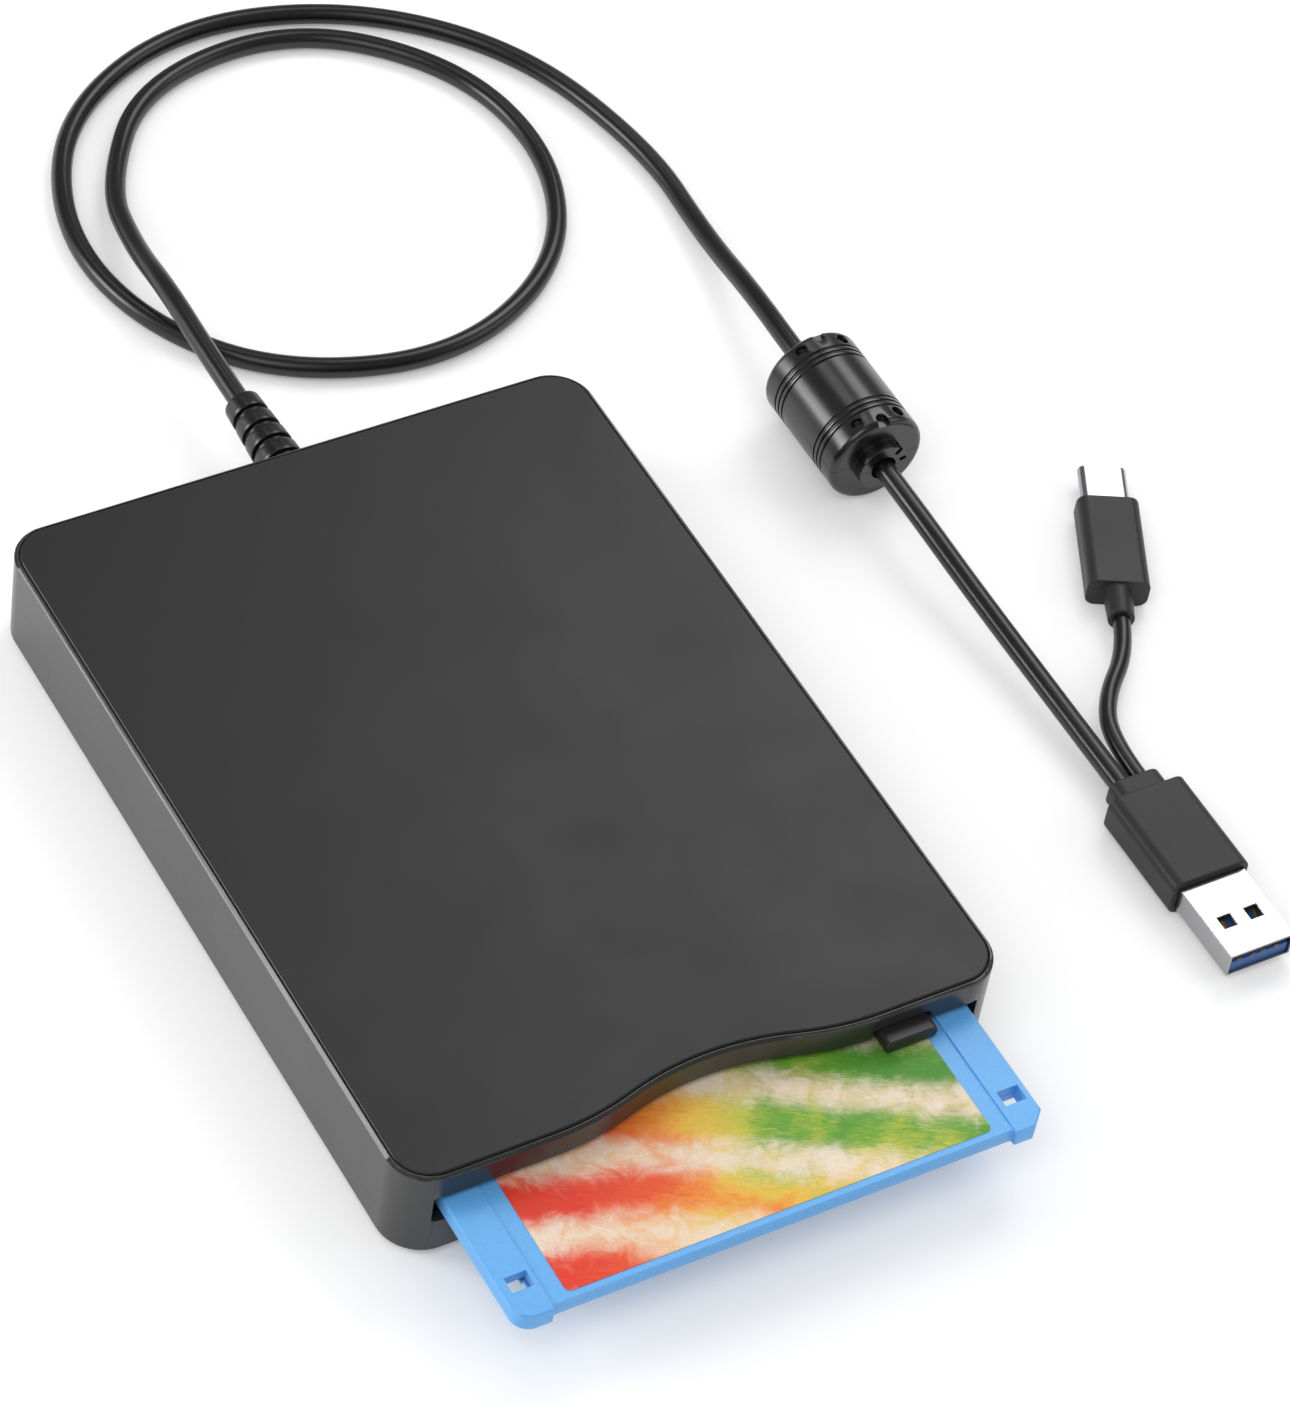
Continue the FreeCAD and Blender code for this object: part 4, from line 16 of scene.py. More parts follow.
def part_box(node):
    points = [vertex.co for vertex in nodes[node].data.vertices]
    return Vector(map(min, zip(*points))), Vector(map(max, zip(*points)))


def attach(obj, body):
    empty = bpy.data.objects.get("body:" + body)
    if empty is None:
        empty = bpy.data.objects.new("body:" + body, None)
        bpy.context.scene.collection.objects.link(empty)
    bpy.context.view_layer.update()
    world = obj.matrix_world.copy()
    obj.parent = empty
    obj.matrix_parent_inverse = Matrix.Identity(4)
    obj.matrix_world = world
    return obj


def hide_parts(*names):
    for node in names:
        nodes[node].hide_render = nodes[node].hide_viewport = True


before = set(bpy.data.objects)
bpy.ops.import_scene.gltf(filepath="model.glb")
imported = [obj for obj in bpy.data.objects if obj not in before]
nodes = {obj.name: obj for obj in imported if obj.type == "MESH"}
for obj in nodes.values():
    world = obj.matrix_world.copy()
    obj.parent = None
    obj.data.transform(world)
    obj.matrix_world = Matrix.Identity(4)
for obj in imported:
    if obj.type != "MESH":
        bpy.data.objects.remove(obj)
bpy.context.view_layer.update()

MM = 0.001
scene = bpy.context.scene
scene.view_settings.view_transform = "Standard"

# %% [markdown]
# ## The camera
#
# The photograph looks down at the drive's front left corner through a long lens, and is
# turned a little about its own line of sight. A long lens far away keeps the edges
# nearly parallel. The place, the point aimed at and the roll were fitted to the corners
# of the case and the edges of the disk.

# %% Camera
CAMERA_PLACE = Vector((-0.32375, -0.4725, 0.6583))
CAMERA_AIM = Vector((0.03149, 0.00655, 0.009))
CAMERA_ROLL = math.radians(10.19)
CAMERA_LENS = 142.9
SENSOR_WIDTH = 36.0

bpy.ops.object.camera_add(location=CAMERA_PLACE)
camera = bpy.context.object
camera.name = "camera"
camera.data.lens = CAMERA_LENS
camera.data.sensor_width = SENSOR_WIDTH
line_of_sight = CAMERA_AIM - CAMERA_PLACE
level = line_of_sight.to_track_quat("-Z", "Y")
camera.rotation_mode = "QUATERNION"
camera.rotation_quaternion = level @ Quaternion((0, 0, 1), CAMERA_ROLL)
scene.camera = camera
print("camera at", round(line_of_sight.length, 3), "m from its aim")

# %% [markdown]
# ## Colours and nodes
#
# Colours are easiest to pick as hex values, which are sRGB. Cycles works in linear
# light, so one function turns them. A second small function adds a shader node: plain
# values fill its sockets and settings, and another node's output is linked. A pattern's
# size is easiest to give in millimetres, and a third function turns that into a scale.
#
# A noise texture's values mostly lie between 0.3 and 0.7, so where noise drives something
# else, that is the range that is spread out.

# %% Helpers for materials
NOISE_LOW = 0.3
NOISE_HIGH = 0.7


def linear(hex_colour):
    """A hex colour, such as "#3c3c3c", as linear red, green, blue and alpha."""
    channels = []
    for start in (1, 3, 5):
        value = int(hex_colour[start:start + 2], 16) / 255
        if value <= 0.04045:
            channels.append(value / 12.92)
        else:
            channels.append(((value + 0.055) / 1.055) ** 2.4)
    return (*channels, 1.0)


def add(material, kind, sockets=None, **settings):
    """Adds a node of one kind. A socket's value may be another node's output."""
    tree = material.node_tree
    made = tree.nodes.new(kind)
    for name, value in settings.items():
        setattr(made, name, value)
    for name, value in (sockets or {}).items():
        if isinstance(value, bpy.types.NodeSocket):
            tree.links.new(value, made.inputs[name])
        else:
            made.inputs[name].default_value = value
    return made


def scale_of(size_mm):
    """The scale of a pattern whose features have one size."""
    return 1 / (size_mm * MM)


def spread_noise(material, noise, low, high):
    """Spreads a noise texture's usual values over a range."""
    return add(
        material, "ShaderNodeMapRange",
        {"Value": noise.outputs["Fac"], "From Min": NOISE_LOW, "From Max": NOISE_HIGH,
         "To Min": low, "To Max": high}).outputs["Result"]


def blank_material(name):
    """A material with no nodes but its output."""
    material = bpy.data.materials.new(name)
    material.use_nodes = True
    material.node_tree.nodes.clear()
    return material


def finish_material(material, shader):
    """Links the shader to the material's surface."""
    add(material, "ShaderNodeOutputMaterial", {"Surface": shader})
    return material


# %% [markdown]
# ## The floor and the light
#
# The drive lies on white. The floor is a plain white surface that keeps the shadow, with
# a little glow that only camera, mirror and glass rays see, so that it reaches full
# white while nothing brightens the drive. What the camera sees of it grows with the
# distance, where the lamps no longer reach. The main light is a near soft box, behind the
# drive to its right: the shadows of the button and of the lid's wave fall forwards on
# the label. A large lamp from the left, a small one from the right and an even sky fill
# the rest, so that together they light a white surface to about 1.
#
# Black plastic shows little but what it mirrors, so mirror rays see a studio: white down
# at the floor and the horizon, and dim overhead. The main soft box stands in that dim
# part, near enough that the lid mirrors more and more of it towards the right. A second
# one, far behind, lies as a long soft light along the cords and the moulded core. A third
# stands low at the left, behind: the rounded rim turns it into a thin line of light.

# %% Floor, sky and lamps
FLOOR_SIZE = 8.0
FLOOR_DROP = 0.0002
FLOOR_WHITE = "#f2f2f2"
FLOOR_GLOW_NEAR = 0.2
FLOOR_GLOW_FAR = 0.5
FLOOR_GLOW_MIRRORED = 0.15
GLOW_NEAR_DISTANCE = 0.5
GLOW_FAR_DISTANCE = 3.0
SKY_LEVEL = 0.55
SKY_MIRRORED_OVERHEAD = 0.2
HORIZON_TOP = 0.03
OVERHEAD_FROM = 0.2


def either(material, first, second):
    """The larger of two outputs."""
    return add(
        material, "ShaderNodeMath", {0: first, 1: second}, operation="MAXIMUM").outputs[0]


bpy.ops.mesh.primitive_plane_add(size=FLOOR_SIZE, location=(0, 0, -FLOOR_DROP))
floor = bpy.context.object
floor.name = "floor"
floor_white = blank_material("matte_white_floor")
paint = add(floor_white, "ShaderNodeBsdfDiffuse", {"Color": linear(FLOOR_WHITE)})
path = add(floor_white, "ShaderNodeLightPath")
mirror_or_glass = either(
    floor_white, path.outputs["Is Glossy Ray"], path.outputs["Is Transmission Ray"])
distance = add(
    floor_white, "ShaderNodeVectorMath",
    {0: add(floor_white, "ShaderNodeTexCoord").outputs["Object"]}, operation="LENGTH")
growing = add(
    floor_white, "ShaderNodeMapRange",
    {"Value": distance.outputs["Value"], "From Min": GLOW_NEAR_DISTANCE,
     "From Max": GLOW_FAR_DISTANCE, "To Min": FLOOR_GLOW_NEAR, "To Max": FLOOR_GLOW_FAR})
glow_in_view = add(
    floor_white, "ShaderNodeMath",
    {0: path.outputs["Is Camera Ray"], 1: growing.outputs["Result"]}, operation="MULTIPLY")
level_of_glow = add(
    floor_white, "ShaderNodeMath",
    {0: mirror_or_glass, 1: FLOOR_GLOW_MIRRORED, 2: glow_in_view.outputs[0]},
    operation="MULTIPLY_ADD")
glow = add(floor_white, "ShaderNodeEmission", {"Strength": level_of_glow.outputs[0]})
both = add(floor_white, "ShaderNodeAddShader", {0: paint.outputs[0], 1: glow.outputs[0]})
finish_material(floor_white, both.outputs[0])
floor.data.materials.append(floor_white)

sky = bpy.data.worlds.new("even_sky")
scene.world = sky
sky.use_nodes = True
sky.node_tree.nodes.clear()
path = add(sky, "ShaderNodeLightPath")
mirror_or_glass = either(
    sky, path.outputs["Is Glossy Ray"], path.outputs["Is Transmission Ray"])
seen = either(sky, path.outputs["Is Camera Ray"], mirror_or_glass)
direction = add(
    sky, "ShaderNodeSeparateXYZ", {0: add(sky, "ShaderNodeTexCoord").outputs["Generated"]})
mirrored = add(
    sky, "ShaderNodeMapRange",
    {"Value": direction.outputs["Z"], "From Min": HORIZON_TOP, "From Max": OVERHEAD_FROM,
     "To Min": 1.0, "To Max": SKY_MIRRORED_OVERHEAD})
sky_level = add(
    sky, "ShaderNodeMapRange",
    {"Value": seen, "To Min": SKY_LEVEL, "To Max": mirrored.outputs["Result"]})
background = add(
    sky, "ShaderNodeBackground", {"Color": (1, 1, 1, 1), "Strength": sky_level.outputs[0]})
add(sky, "ShaderNodeOutputWorld", {"Surface": background.outputs[0]})


def soft_lamp(name, place, aim, size, power):
    """A square soft lamp that faces a point."""
    bpy.ops.object.light_add(type="AREA", location=place)
    lamp = bpy.context.object
    lamp.name = name
    lamp.data.shape = "SQUARE"
    lamp.data.size = size
    lamp.data.energy = power
    lamp.rotation_mode = "QUATERNION"
    lamp.rotation_quaternion = (Vector(aim) - Vector(place)).to_track_quat("-Z", "Y")


soft_lamp(
    "main_soft_box", place=(0.43, 0.31, 0.55), aim=(0.05, -0.04, 0.018), size=0.36, power=1.25)
soft_lamp("left_lamp", place=(-0.55, -0.35, 0.95), aim=(0.02, 0.0, 0.0), size=0.7, power=3.1)
soft_lamp("right_lamp", place=(0.95, -0.45, 0.7), aim=(0.02, 0.0, 0.0), size=0.6, power=1.4)
soft_lamp("back_soft_box", place=(0.02, 0.75, 1.1), aim=(0.09, 0.05, 0.01), size=0.4, power=0.7)
soft_lamp("rim_soft_box", place=(-0.62, 0.4, 0.27), aim=(0.0, 0.0, 0.01), size=0.3, power=2.4)

# %% [markdown]
# ## Moulded plastics
#
# Nearly all that shows is moulded plastic: the lid and the case in ABS with a fine
# spark-eroded grain, the disk in smoother ABS, and the plugs in soft PVC. They share one
# build-up. A noise pattern drives a bump, and a broader one varies the roughness a
# little, as the flow of the plastic and handling do. What differs is named in the call:
# colour, roughness, mirror strength, grain and its depth. A real grain is about 0.1 mm
# and would vanish in the picture, so it is drawn at 0.3 to 0.6 mm, and the bare film of
# the disk inside has only a faint ripple.

# %% Plastics
PLASTIC_IOR = 1.5
PLASTIC_GRAIN_STRENGTH = 0.6
GLOSS_SPREAD = 0.03
TINT_SPREAD = 0.06


def moulded_plastic(
        name, colour, roughness, mirror=0.5, grain_mm=0.25, depth_mm=0.01, flow_mm=18.0):
    """Moulded plastic with a fine grain and a faint unevenness of gloss."""
    material = blank_material(name)
    place = add(material, "ShaderNodeTexCoord").outputs["Object"]
    grain = add(
        material, "ShaderNodeTexNoise",
        {"Vector": place, "Scale": scale_of(grain_mm), "Detail": 2.0, "Roughness": 0.6})
    bump = add(
        material, "ShaderNodeBump",
        {"Height": grain.outputs["Fac"], "Distance": depth_mm * MM,
         "Strength": PLASTIC_GRAIN_STRENGTH})
    flow = add(
        material, "ShaderNodeTexNoise",
        {"Vector": place, "Scale": scale_of(flow_mm), "Detail": 3.0})
    gloss = spread_noise(material, flow, roughness - GLOSS_SPREAD, roughness + GLOSS_SPREAD)
    pale = spread_noise(material, grain, 1 - TINT_SPREAD, 1 + TINT_SPREAD)
    tint = add(
        material, "ShaderNodeVectorMath",
        {0: linear(colour)[:3], 1: pale}, operation="MULTIPLY")
    shader = add(
        material, "ShaderNodeBsdfPrincipled",
        {"Base Color": tint.outputs["Vector"], "Roughness": gloss, "IOR": PLASTIC_IOR,
         "Specular IOR Level": mirror, "Normal": bump.outputs["Normal"]})
    return finish_material(material, shader.outputs["BSDF"])


# The case's ABS: a dark grey that mirrors its white surroundings softly at low angles.
case_abs = moulded_plastic(
    "moulded_abs_case", "#2a2a2a", roughness=0.27, mirror=0.7, grain_mm=0.5, depth_mm=0.015)
# The lid is the case's ABS, matter, and its colour is drawn darker than the case's as painted
# shade of the top, so it stands apart from the rim.
lid_abs_painted_shade = moulded_plastic(
    "moulded_abs_lid_painted_shade", "#1a1a1a", roughness=0.43, grain_mm=0.45, depth_mm=0.016)
# The button and the writing tab are smooth black ABS with a soft edge light.
button_abs = moulded_plastic(
    "smooth_black_abs_button", "#222222", roughness=0.35, grain_mm=0.4, depth_mm=0.008)
tab_abs = moulded_plastic(
    "smooth_black_abs_tab", "#202022", roughness=0.38, grain_mm=0.4, depth_mm=0.008)
# The disk's shell: satin light blue ABS with a very fine grain.
disk_abs = moulded_plastic(
    "satin_blue_abs_disk", "#63afef", roughness=0.36, grain_mm=0.35, depth_mm=0.008,
    flow_mm=25.0)
# Glass-filled plastic of the mechanism: dull, with a coarser flow.
mechanism_plastic = moulded_plastic(
    "glass_filled_plastic", "#1a1a1c", roughness=0.55, mirror=0.4, grain_mm=0.6, depth_mm=0.03)
# The plugs' overmoulds: soft matte PVC, lighter than the cord.
plug_pvc = moulded_plastic(
    "matte_pvc_overmould", "#2a2a2a", roughness=0.45, mirror=0.4, grain_mm=0.35,
    depth_mm=0.012)
# The core's housing: black plastic, smooth enough for long soft highlights.
core_abs = moulded_plastic(
    "glossy_black_core_housing", "#0f0f0f", roughness=0.26, mirror=0.8, grain_mm=0.6,
    depth_mm=0.006)
# The cord's jacket and the boot: satin PVC with a narrow light along the cord.
cord_pvc = moulded_plastic(
    "satin_pvc_jacket", "#0e0e0e", roughness=0.3, mirror=0.6, grain_mm=0.4)
# The tongue of the USB-A plug: blue thermoplastic; the lining of the other plug is black.
tongue_blue = moulded_plastic(
    "blue_thermoplastic_tongue", "#3c62a0", roughness=0.4, grain_mm=0.3, depth_mm=0.005)
tongue_black = moulded_plastic(
    "black_thermoplastic_lining", "#161617", roughness=0.45, grain_mm=0.3, depth_mm=0.005)
# Rubber feet: dull, with an open grain.
foot_rubber = moulded_plastic(
    "moulded_rubber_feet", "#1b1b1b", roughness=0.8, mirror=0.3, grain_mm=0.6, depth_mm=0.05)
# Chips, the magnet and the ferrite: epoxy and sintered powder, all dull and dark.
chip_epoxy = moulded_plastic(
    "moulded_chip_epoxy", "#1c1c1d", roughness=0.6, mirror=0.4, grain_mm=0.4, depth_mm=0.015)
magnet_powder = moulded_plastic(
    "bonded_magnet_powder", "#2e2b2a", roughness=0.7, mirror=0.3, grain_mm=0.4, depth_mm=0.02)
core_powder = moulded_plastic(
    "sintered_ferrite", "#33343a", roughness=0.55, grain_mm=0.3, depth_mm=0.03)
# The heads are polished ceramic, pale and very smooth.
head_ceramic = moulded_plastic(
    "polished_head_ceramic", "#e6e2d6", roughness=0.15, grain_mm=0.6, depth_mm=0.002)
# The liners are white non-woven fleece: no gloss, and a soft fibrous relief.
liner_fleece = moulded_plastic(
    "white_liner_fleece", "#dcdcd6", roughness=0.95, mirror=0.1, grain_mm=0.35, depth_mm=0.08,
    flow_mm=4.0)
# The disk inside is brown film with a smooth magnetic coat.
media_film = moulded_plastic(
    "coated_brown_film", "#4a3f38", roughness=0.22, mirror=0.6, grain_mm=1.5, depth_mm=0.002,
    flow_mm=12.0)
# The flat cable is a pale film.
ribbon_film = moulded_plastic(
    "pale_ribbon_film", "#dcdfe2", roughness=0.3, grain_mm=0.5, depth_mm=0.004)

# %% [markdown]
# ## Metals
#
# The hidden drive is folded zinc-plated sheet and ground steel shafts, and the plugs'
# shells are nickel-plated. A metal's look is in its roughness: rolling or brushing
# leaves long scratches one way, so the noise that drives roughness and bump is
# stretched along that way.

# %% Metal finishes
SCRATCH_STRENGTH = 0.5


def scratched_metal(name, colour, roughness, scratch_mm, stretch, spread=0.08, depth_mm=0.004):
    """Metal with fine scratches; stretch gives their length along X, Y and Z."""
    material = blank_material(name)
    place = add(material, "ShaderNodeTexCoord").outputs["Object"]
    along = add(
        material, "ShaderNodeMapping",
        {"Vector": place, "Scale": tuple(1 / length for length in stretch)})
    scratches = add(
        material, "ShaderNodeTexNoise",
        {"Vector": along.outputs["Vector"], "Scale": scale_of(scratch_mm), "Detail": 4.0})
    gloss = spread_noise(material, scratches, roughness - spread / 2, roughness + spread / 2)
    bump = add(
        material, "ShaderNodeBump",
        {"Height": scratches.outputs["Fac"], "Distance": depth_mm * MM,
         "Strength": SCRATCH_STRENGTH})
    shader = add(
        material, "ShaderNodeBsdfPrincipled",
        {"Base Color": linear(colour), "Metallic": 1.0, "Roughness": gloss,
         "Normal": bump.outputs["Normal"]})
    return finish_material(material, shader.outputs["BSDF"])


# Nickel-plated shells of both plugs: bright, with a faint drawn texture.
plug_nickel = scratched_metal(
    "nickel_plated_shell", "#adadb0", roughness=0.2, scratch_mm=0.3, stretch=(1, 12, 1),
    spread=0.06, depth_mm=0.001)
# The shutter: brushed aluminium, drawn across the disk.
shutter_metal = scratched_metal(
    "brushed_aluminium_shutter", "#c9cbcf", roughness=0.3, scratch_mm=0.12, stretch=(30, 1, 1))
# The disk's hub: pressed bright steel.
hub_steel = scratched_metal(
    "pressed_hub_steel", "#b9bbbf", roughness=0.28, scratch_mm=0.3, stretch=(1, 1, 1))
# Chassis, holder, slide and motor cans: zinc-plated sheet with a faintly cloudy gloss.
zinc_sheet = scratched_metal(
    "zinc_plated_sheet", "#b4b7bb", roughness=0.36, scratch_mm=2.0, stretch=(1, 3, 1),
    spread=0.05, depth_mm=0.0006)
# Shafts, pins and rods are ground round, so their scratches go round them.
ground_steel = scratched_metal(
    "ground_steel", "#c3c5c9", roughness=0.2, scratch_mm=0.15, stretch=(6, 1, 6))
# Screws: darker plated steel.
screw_steel = scratched_metal(
    "dark_plated_screw", "#77797d", roughness=0.35, scratch_mm=0.2, stretch=(1, 1, 1))
# Springs: drawn wire.
spring_steel = scratched_metal(
    "drawn_spring_wire", "#b0b2b6", roughness=0.3, scratch_mm=0.2, stretch=(1, 4, 1))
# The bearing is sintered bronze, and the coils are enamelled copper.
bearing_bronze = scratched_metal(
    "sintered_bronze", "#b08a52", roughness=0.45, scratch_mm=0.3, stretch=(1, 1, 1),
    spread=0.1, depth_mm=0.02)
coil_copper = scratched_metal(
    "enamelled_copper", "#c9763f", roughness=0.28, scratch_mm=0.12, stretch=(8, 8, 1),
    spread=0.1, depth_mm=0.03)
# Contacts are gold-plated.
contact_gold = scratched_metal(
    "gold_plated_contact", "#d9b45a", roughness=0.42, scratch_mm=0.2, stretch=(1, 8, 1))

# %% [markdown]
# ## Circuit board
#
# A board is glass laminate under green solder mask, and copper tracks show through the
# mask as a paler green. A brick pattern with long low bricks stands for the tracks: its
# thin mortar is the copper.

# %% Board laminate
TRACK_SPACING_MM = 1.27
TRACK_WIDTH_MM = 0.2
TRACK_LENGTH_MM = 26.0

board_laminate = blank_material("solder_masked_laminate")
place = add(board_laminate, "ShaderNodeTexCoord").outputs["Object"]
tracks = add(
    board_laminate, "ShaderNodeTexBrick",
    {"Vector": place, "Scale": 1 / MM, "Brick Width": TRACK_LENGTH_MM,
     "Row Height": TRACK_SPACING_MM, "Mortar Size": TRACK_WIDTH_MM / 2,
     "Color1": linear("#0f4a26"), "Color2": linear("#115230"), "Mortar": linear("#1d7a45")})
mask = add(
    board_laminate, "ShaderNodeBsdfPrincipled",
    {"Base Color": tracks.outputs["Color"], "Roughness": 0.35, "Coat Weight": 0.4})
finish_material(board_laminate, mask.outputs["BSDF"])

# %% [markdown]
# ## The printed label
#
# The disk's label is coated paper with a print like a watercolour wash: cream paper, and
# inks that run from red through orange and yellow to green. This one is a plain pattern
# of soft rolling waves. Three things are worked out apart and then mixed. The hue follows
# the place along the label, made uneven by a broad noise and, a little, by the strokes.
# The strength of the ink follows a wave texture, softened by noise, so the cream shows
# between the waves. Fine strokes, which are noise stretched along the waves, blotches of
# water and the grain of the paper break both up. The paper itself has a pale first wash.

# %% Label paper
label_low, label_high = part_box("disk_label")
WAVE_MM = 15.0
WAVE_SLANT = math.radians(-62)
# A wave texture at scale 1 repeats once in this length.
WAVE_UNIT = 0.314
STROKE_MM = 0.45
STROKE_STRETCH = 7
BLOTCH_MM = 5.0
HUE_DRIFT_MM = 22.0
PAPER_GRAIN_MM = 0.35
PAPER_RELIEF_MM = 0.006
# How far the broad noise and the strokes move the hue, as shares of the whole ramp.
HUE_DRIFT = 1.3
HUE_STROKES = 0.4
HUE_OFFSET = -0.85
# How much blotches and strokes add to the wave, and where the ink begins and is full.
INK_BLOTCHES = 1.2
INK_STROKES = 0.6
INK_BEGINS = 0.65
INK_FULL = 1.8
WASH_BEGINS = 0.4
WASH_FULL = 0.65
WASH_STRENGTH = 0.6
# A Mix node keeps its colour sockets behind those for numbers and vectors.
COLOUR_A = 6
COLOUR_B = 7
COLOUR_OUT = 2
CREAM = "#eddcc6"
FIRST_WASH = "#f0c988"
INKS = (
    (0.0, "#e53a26"), (0.22, "#ea5a2c"), (0.4, "#ee9438"), (0.55, "#e8c04a"),
    (0.72, "#b9bf45"), (0.86, "#6fa637"), (1.0, "#4f9330"))


def ramp_of(material, factor, stops):
    """A colour ramp with a stop for each given place and colour."""
    ramp = add(material, "ShaderNodeValToRGB", {"Fac": factor})
    ends = ramp.color_ramp.elements
    ends[0].position, ends[0].color = stops[0][0], linear(stops[0][1])
    ends[1].position, ends[1].color = stops[-1][0], linear(stops[-1][1])
    for position, colour in stops[1:-1]:
        ends.new(position).color = linear(colour)
    return ramp


label_print = blank_material("printed_paper_label")


def with_share_of(noise, share_of_noise, base):
    """A share of a noise added to a number or to another output."""
    return add(
        label_print, "ShaderNodeMath",
        {0: noise.outputs["Fac"], 1: share_of_noise, 2: base},
        operation="MULTIPLY_ADD").outputs[0]


place = add(label_print, "ShaderNodeTexCoord").outputs["Object"]
along = add(label_print, "ShaderNodeSeparateXYZ", {0: place})
uneven = add(
    label_print, "ShaderNodeTexNoise",
    {"Vector": place, "Scale": scale_of(HUE_DRIFT_MM), "Detail": 3.0, "Distortion": 0.6})
share = add(
    label_print, "ShaderNodeMapRange",
    {"Value": along.outputs["X"], "From Min": label_low.x, "From Max": label_high.x})
slanted = add(
    label_print, "ShaderNodeMapping",
    {"Vector": place, "Rotation": (0, 0, WAVE_SLANT)})
waves = add(
    label_print, "ShaderNodeTexWave",
    {"Vector": slanted.outputs["Vector"], "Scale": WAVE_UNIT / (WAVE_MM * MM),
     "Distortion": 5.0, "Detail": 3.0, "Detail Scale": 0.8})
stretched = add(
    label_print, "ShaderNodeMapping",
    {"Vector": slanted.outputs["Vector"], "Scale": (1, 1 / STROKE_STRETCH, 1)})
strokes = add(
    label_print, "ShaderNodeTexNoise",
    {"Vector": stretched.outputs["Vector"], "Scale": scale_of(STROKE_MM), "Detail": 5.0,
     "Roughness": 0.6, "Distortion": 1.5})
blotches = add(
    label_print, "ShaderNodeTexNoise",
    {"Vector": place, "Scale": scale_of(BLOTCH_MM), "Detail": 5.0, "Roughness": 0.6,
     "Distortion": 1.2})

drifted = with_share_of(uneven, HUE_DRIFT, HUE_OFFSET)
stroked = with_share_of(strokes, HUE_STROKES, drifted)
hue = add(
    label_print, "ShaderNodeMath", {0: share.outputs["Result"], 1: stroked},
    operation="ADD", use_clamp=True)
inks = ramp_of(label_print, hue.outputs[0], INKS)

watered = with_share_of(blotches, INK_BLOTCHES, waves.outputs["Fac"])
loaded = with_share_of(strokes, INK_STROKES, watered)
strength = add(
    label_print, "ShaderNodeMapRange",
    {"Value": loaded, "From Min": INK_BEGINS, "From Max": INK_FULL},
    interpolation_type="SMOOTHSTEP")
tinted = add(
    label_print, "ShaderNodeMapRange",
    {"Value": blotches.outputs["Fac"], "From Min": WASH_BEGINS, "From Max": WASH_FULL,
     "To Max": WASH_STRENGTH})
paper_wash = add(
    label_print, "ShaderNodeMix",
    {0: tinted.outputs["Result"], COLOUR_A: linear(CREAM), COLOUR_B: linear(FIRST_WASH)},
    data_type="RGBA")
washed = add(
    label_print, "ShaderNodeMix",
    {0: strength.outputs["Result"], COLOUR_A: paper_wash.outputs[COLOUR_OUT],
     COLOUR_B: inks.outputs["Color"]},
    data_type="RGBA")
fibres = add(
    label_print, "ShaderNodeTexNoise",
    {"Vector": place, "Scale": scale_of(PAPER_GRAIN_MM), "Detail": 4.0})
grainy = add(
    label_print, "ShaderNodeMapRange",
    {"Value": fibres.outputs["Fac"], "From Min": 0.25, "From Max": 0.75,
     "To Min": 0.93, "To Max": 1.06})
painted = add(
    label_print, "ShaderNodeVectorMath",
    {0: washed.outputs[COLOUR_OUT], 1: grainy.outputs["Result"]}, operation="MULTIPLY")
relief = add(
    label_print, "ShaderNodeBump",
    {"Height": fibres.outputs["Fac"], "Distance": PAPER_RELIEF_MM * MM, "Strength": 0.4})
coated = add(
    label_print, "ShaderNodeBsdfPrincipled",
    {"Base Color": painted.outputs["Vector"], "Roughness": 0.5, "Specular IOR Level": 0.35,
     "Normal": relief.outputs["Normal"]})
finish_material(label_print, coated.outputs["BSDF"])
print("materials:", len(bpy.data.materials))

# %% [markdown]
# ## Dressing the frame's own parts
#
# The frame's parts keep their shapes and take a material. Most of these are inside the
# drive and show only when it is opened, but each still has the finish of the real one.

# %% Materials for the frame's parts
FINISHES = (
    (case_abs, ("bottom_cover",)),
    (foot_rubber, ("rubber_feet",)),
    (screw_steel, ("case_screws", "chassis_screws")),
    (zinc_sheet, ("drive_chassis", "spindle_rotor", "stepper_motor", "holder_plate",
                  "holder_rails", "eject_slide_plate")),
    (board_laminate, ("spindle_stator", "control_board", "usb_bridge_board")),
    (coil_copper, ("spindle_coils",)),
    (bearing_bronze, ("spindle_bearing",)),
    (magnet_powder, ("rotor_magnet",)),
    (ground_steel, ("spindle_shaft", "drive_pin", "arm_pivot_pin", "guide_rod", "lead_screw",
                    "holder_pins", "lever_pivot")),
    (mechanism_plastic, ("head_carriage", "head_arm", "board_spacers", "shutter_lever")),
    (head_ceramic, ("lower_head", "upper_head")),
    (chip_epoxy, ("track_sensor", "controller_chips", "bridge_parts")),
    (ribbon_film, ("flat_cable",)),
    (cord_pvc, ("inner_lead",)),
    (tab_abs, ("write_protect_tab",)),
    (label_print, ("disk_label",)),
    (shutter_metal, ("disk_shutter",)),
    (media_film, ("disk_media",)),
    (hub_steel, ("disk_hub",)),
    (liner_fleece, ("disk_liners",)),
    (core_powder, ("ferrite_core",)),
    (tongue_blue, ("usb_a_tongue",)),
    (tongue_black, ("usb_c_tongue",)),
)


def dress(piece, material):
    """Gives a piece one material."""
    piece.data.materials.clear()
    piece.data.materials.append(material)


for material, names in FINISHES:
    for name in names:
        dress(nodes[name], material)
print("dressed", sum(len(names) for _, names in FINISHES), "of the frame's parts")

# %% [markdown]
# ## Soft edges
#
# No moulded or pressed edge is perfectly sharp: a radius of a tenth or two of a
# millimetre catches a thin line of light, and the eye reads it as real. The frame's
# parts have sharp edges, so the ones that show are copied, their loose triangles merged
# into clean faces, and a narrow bevel rounds every edge that turns more than a little.

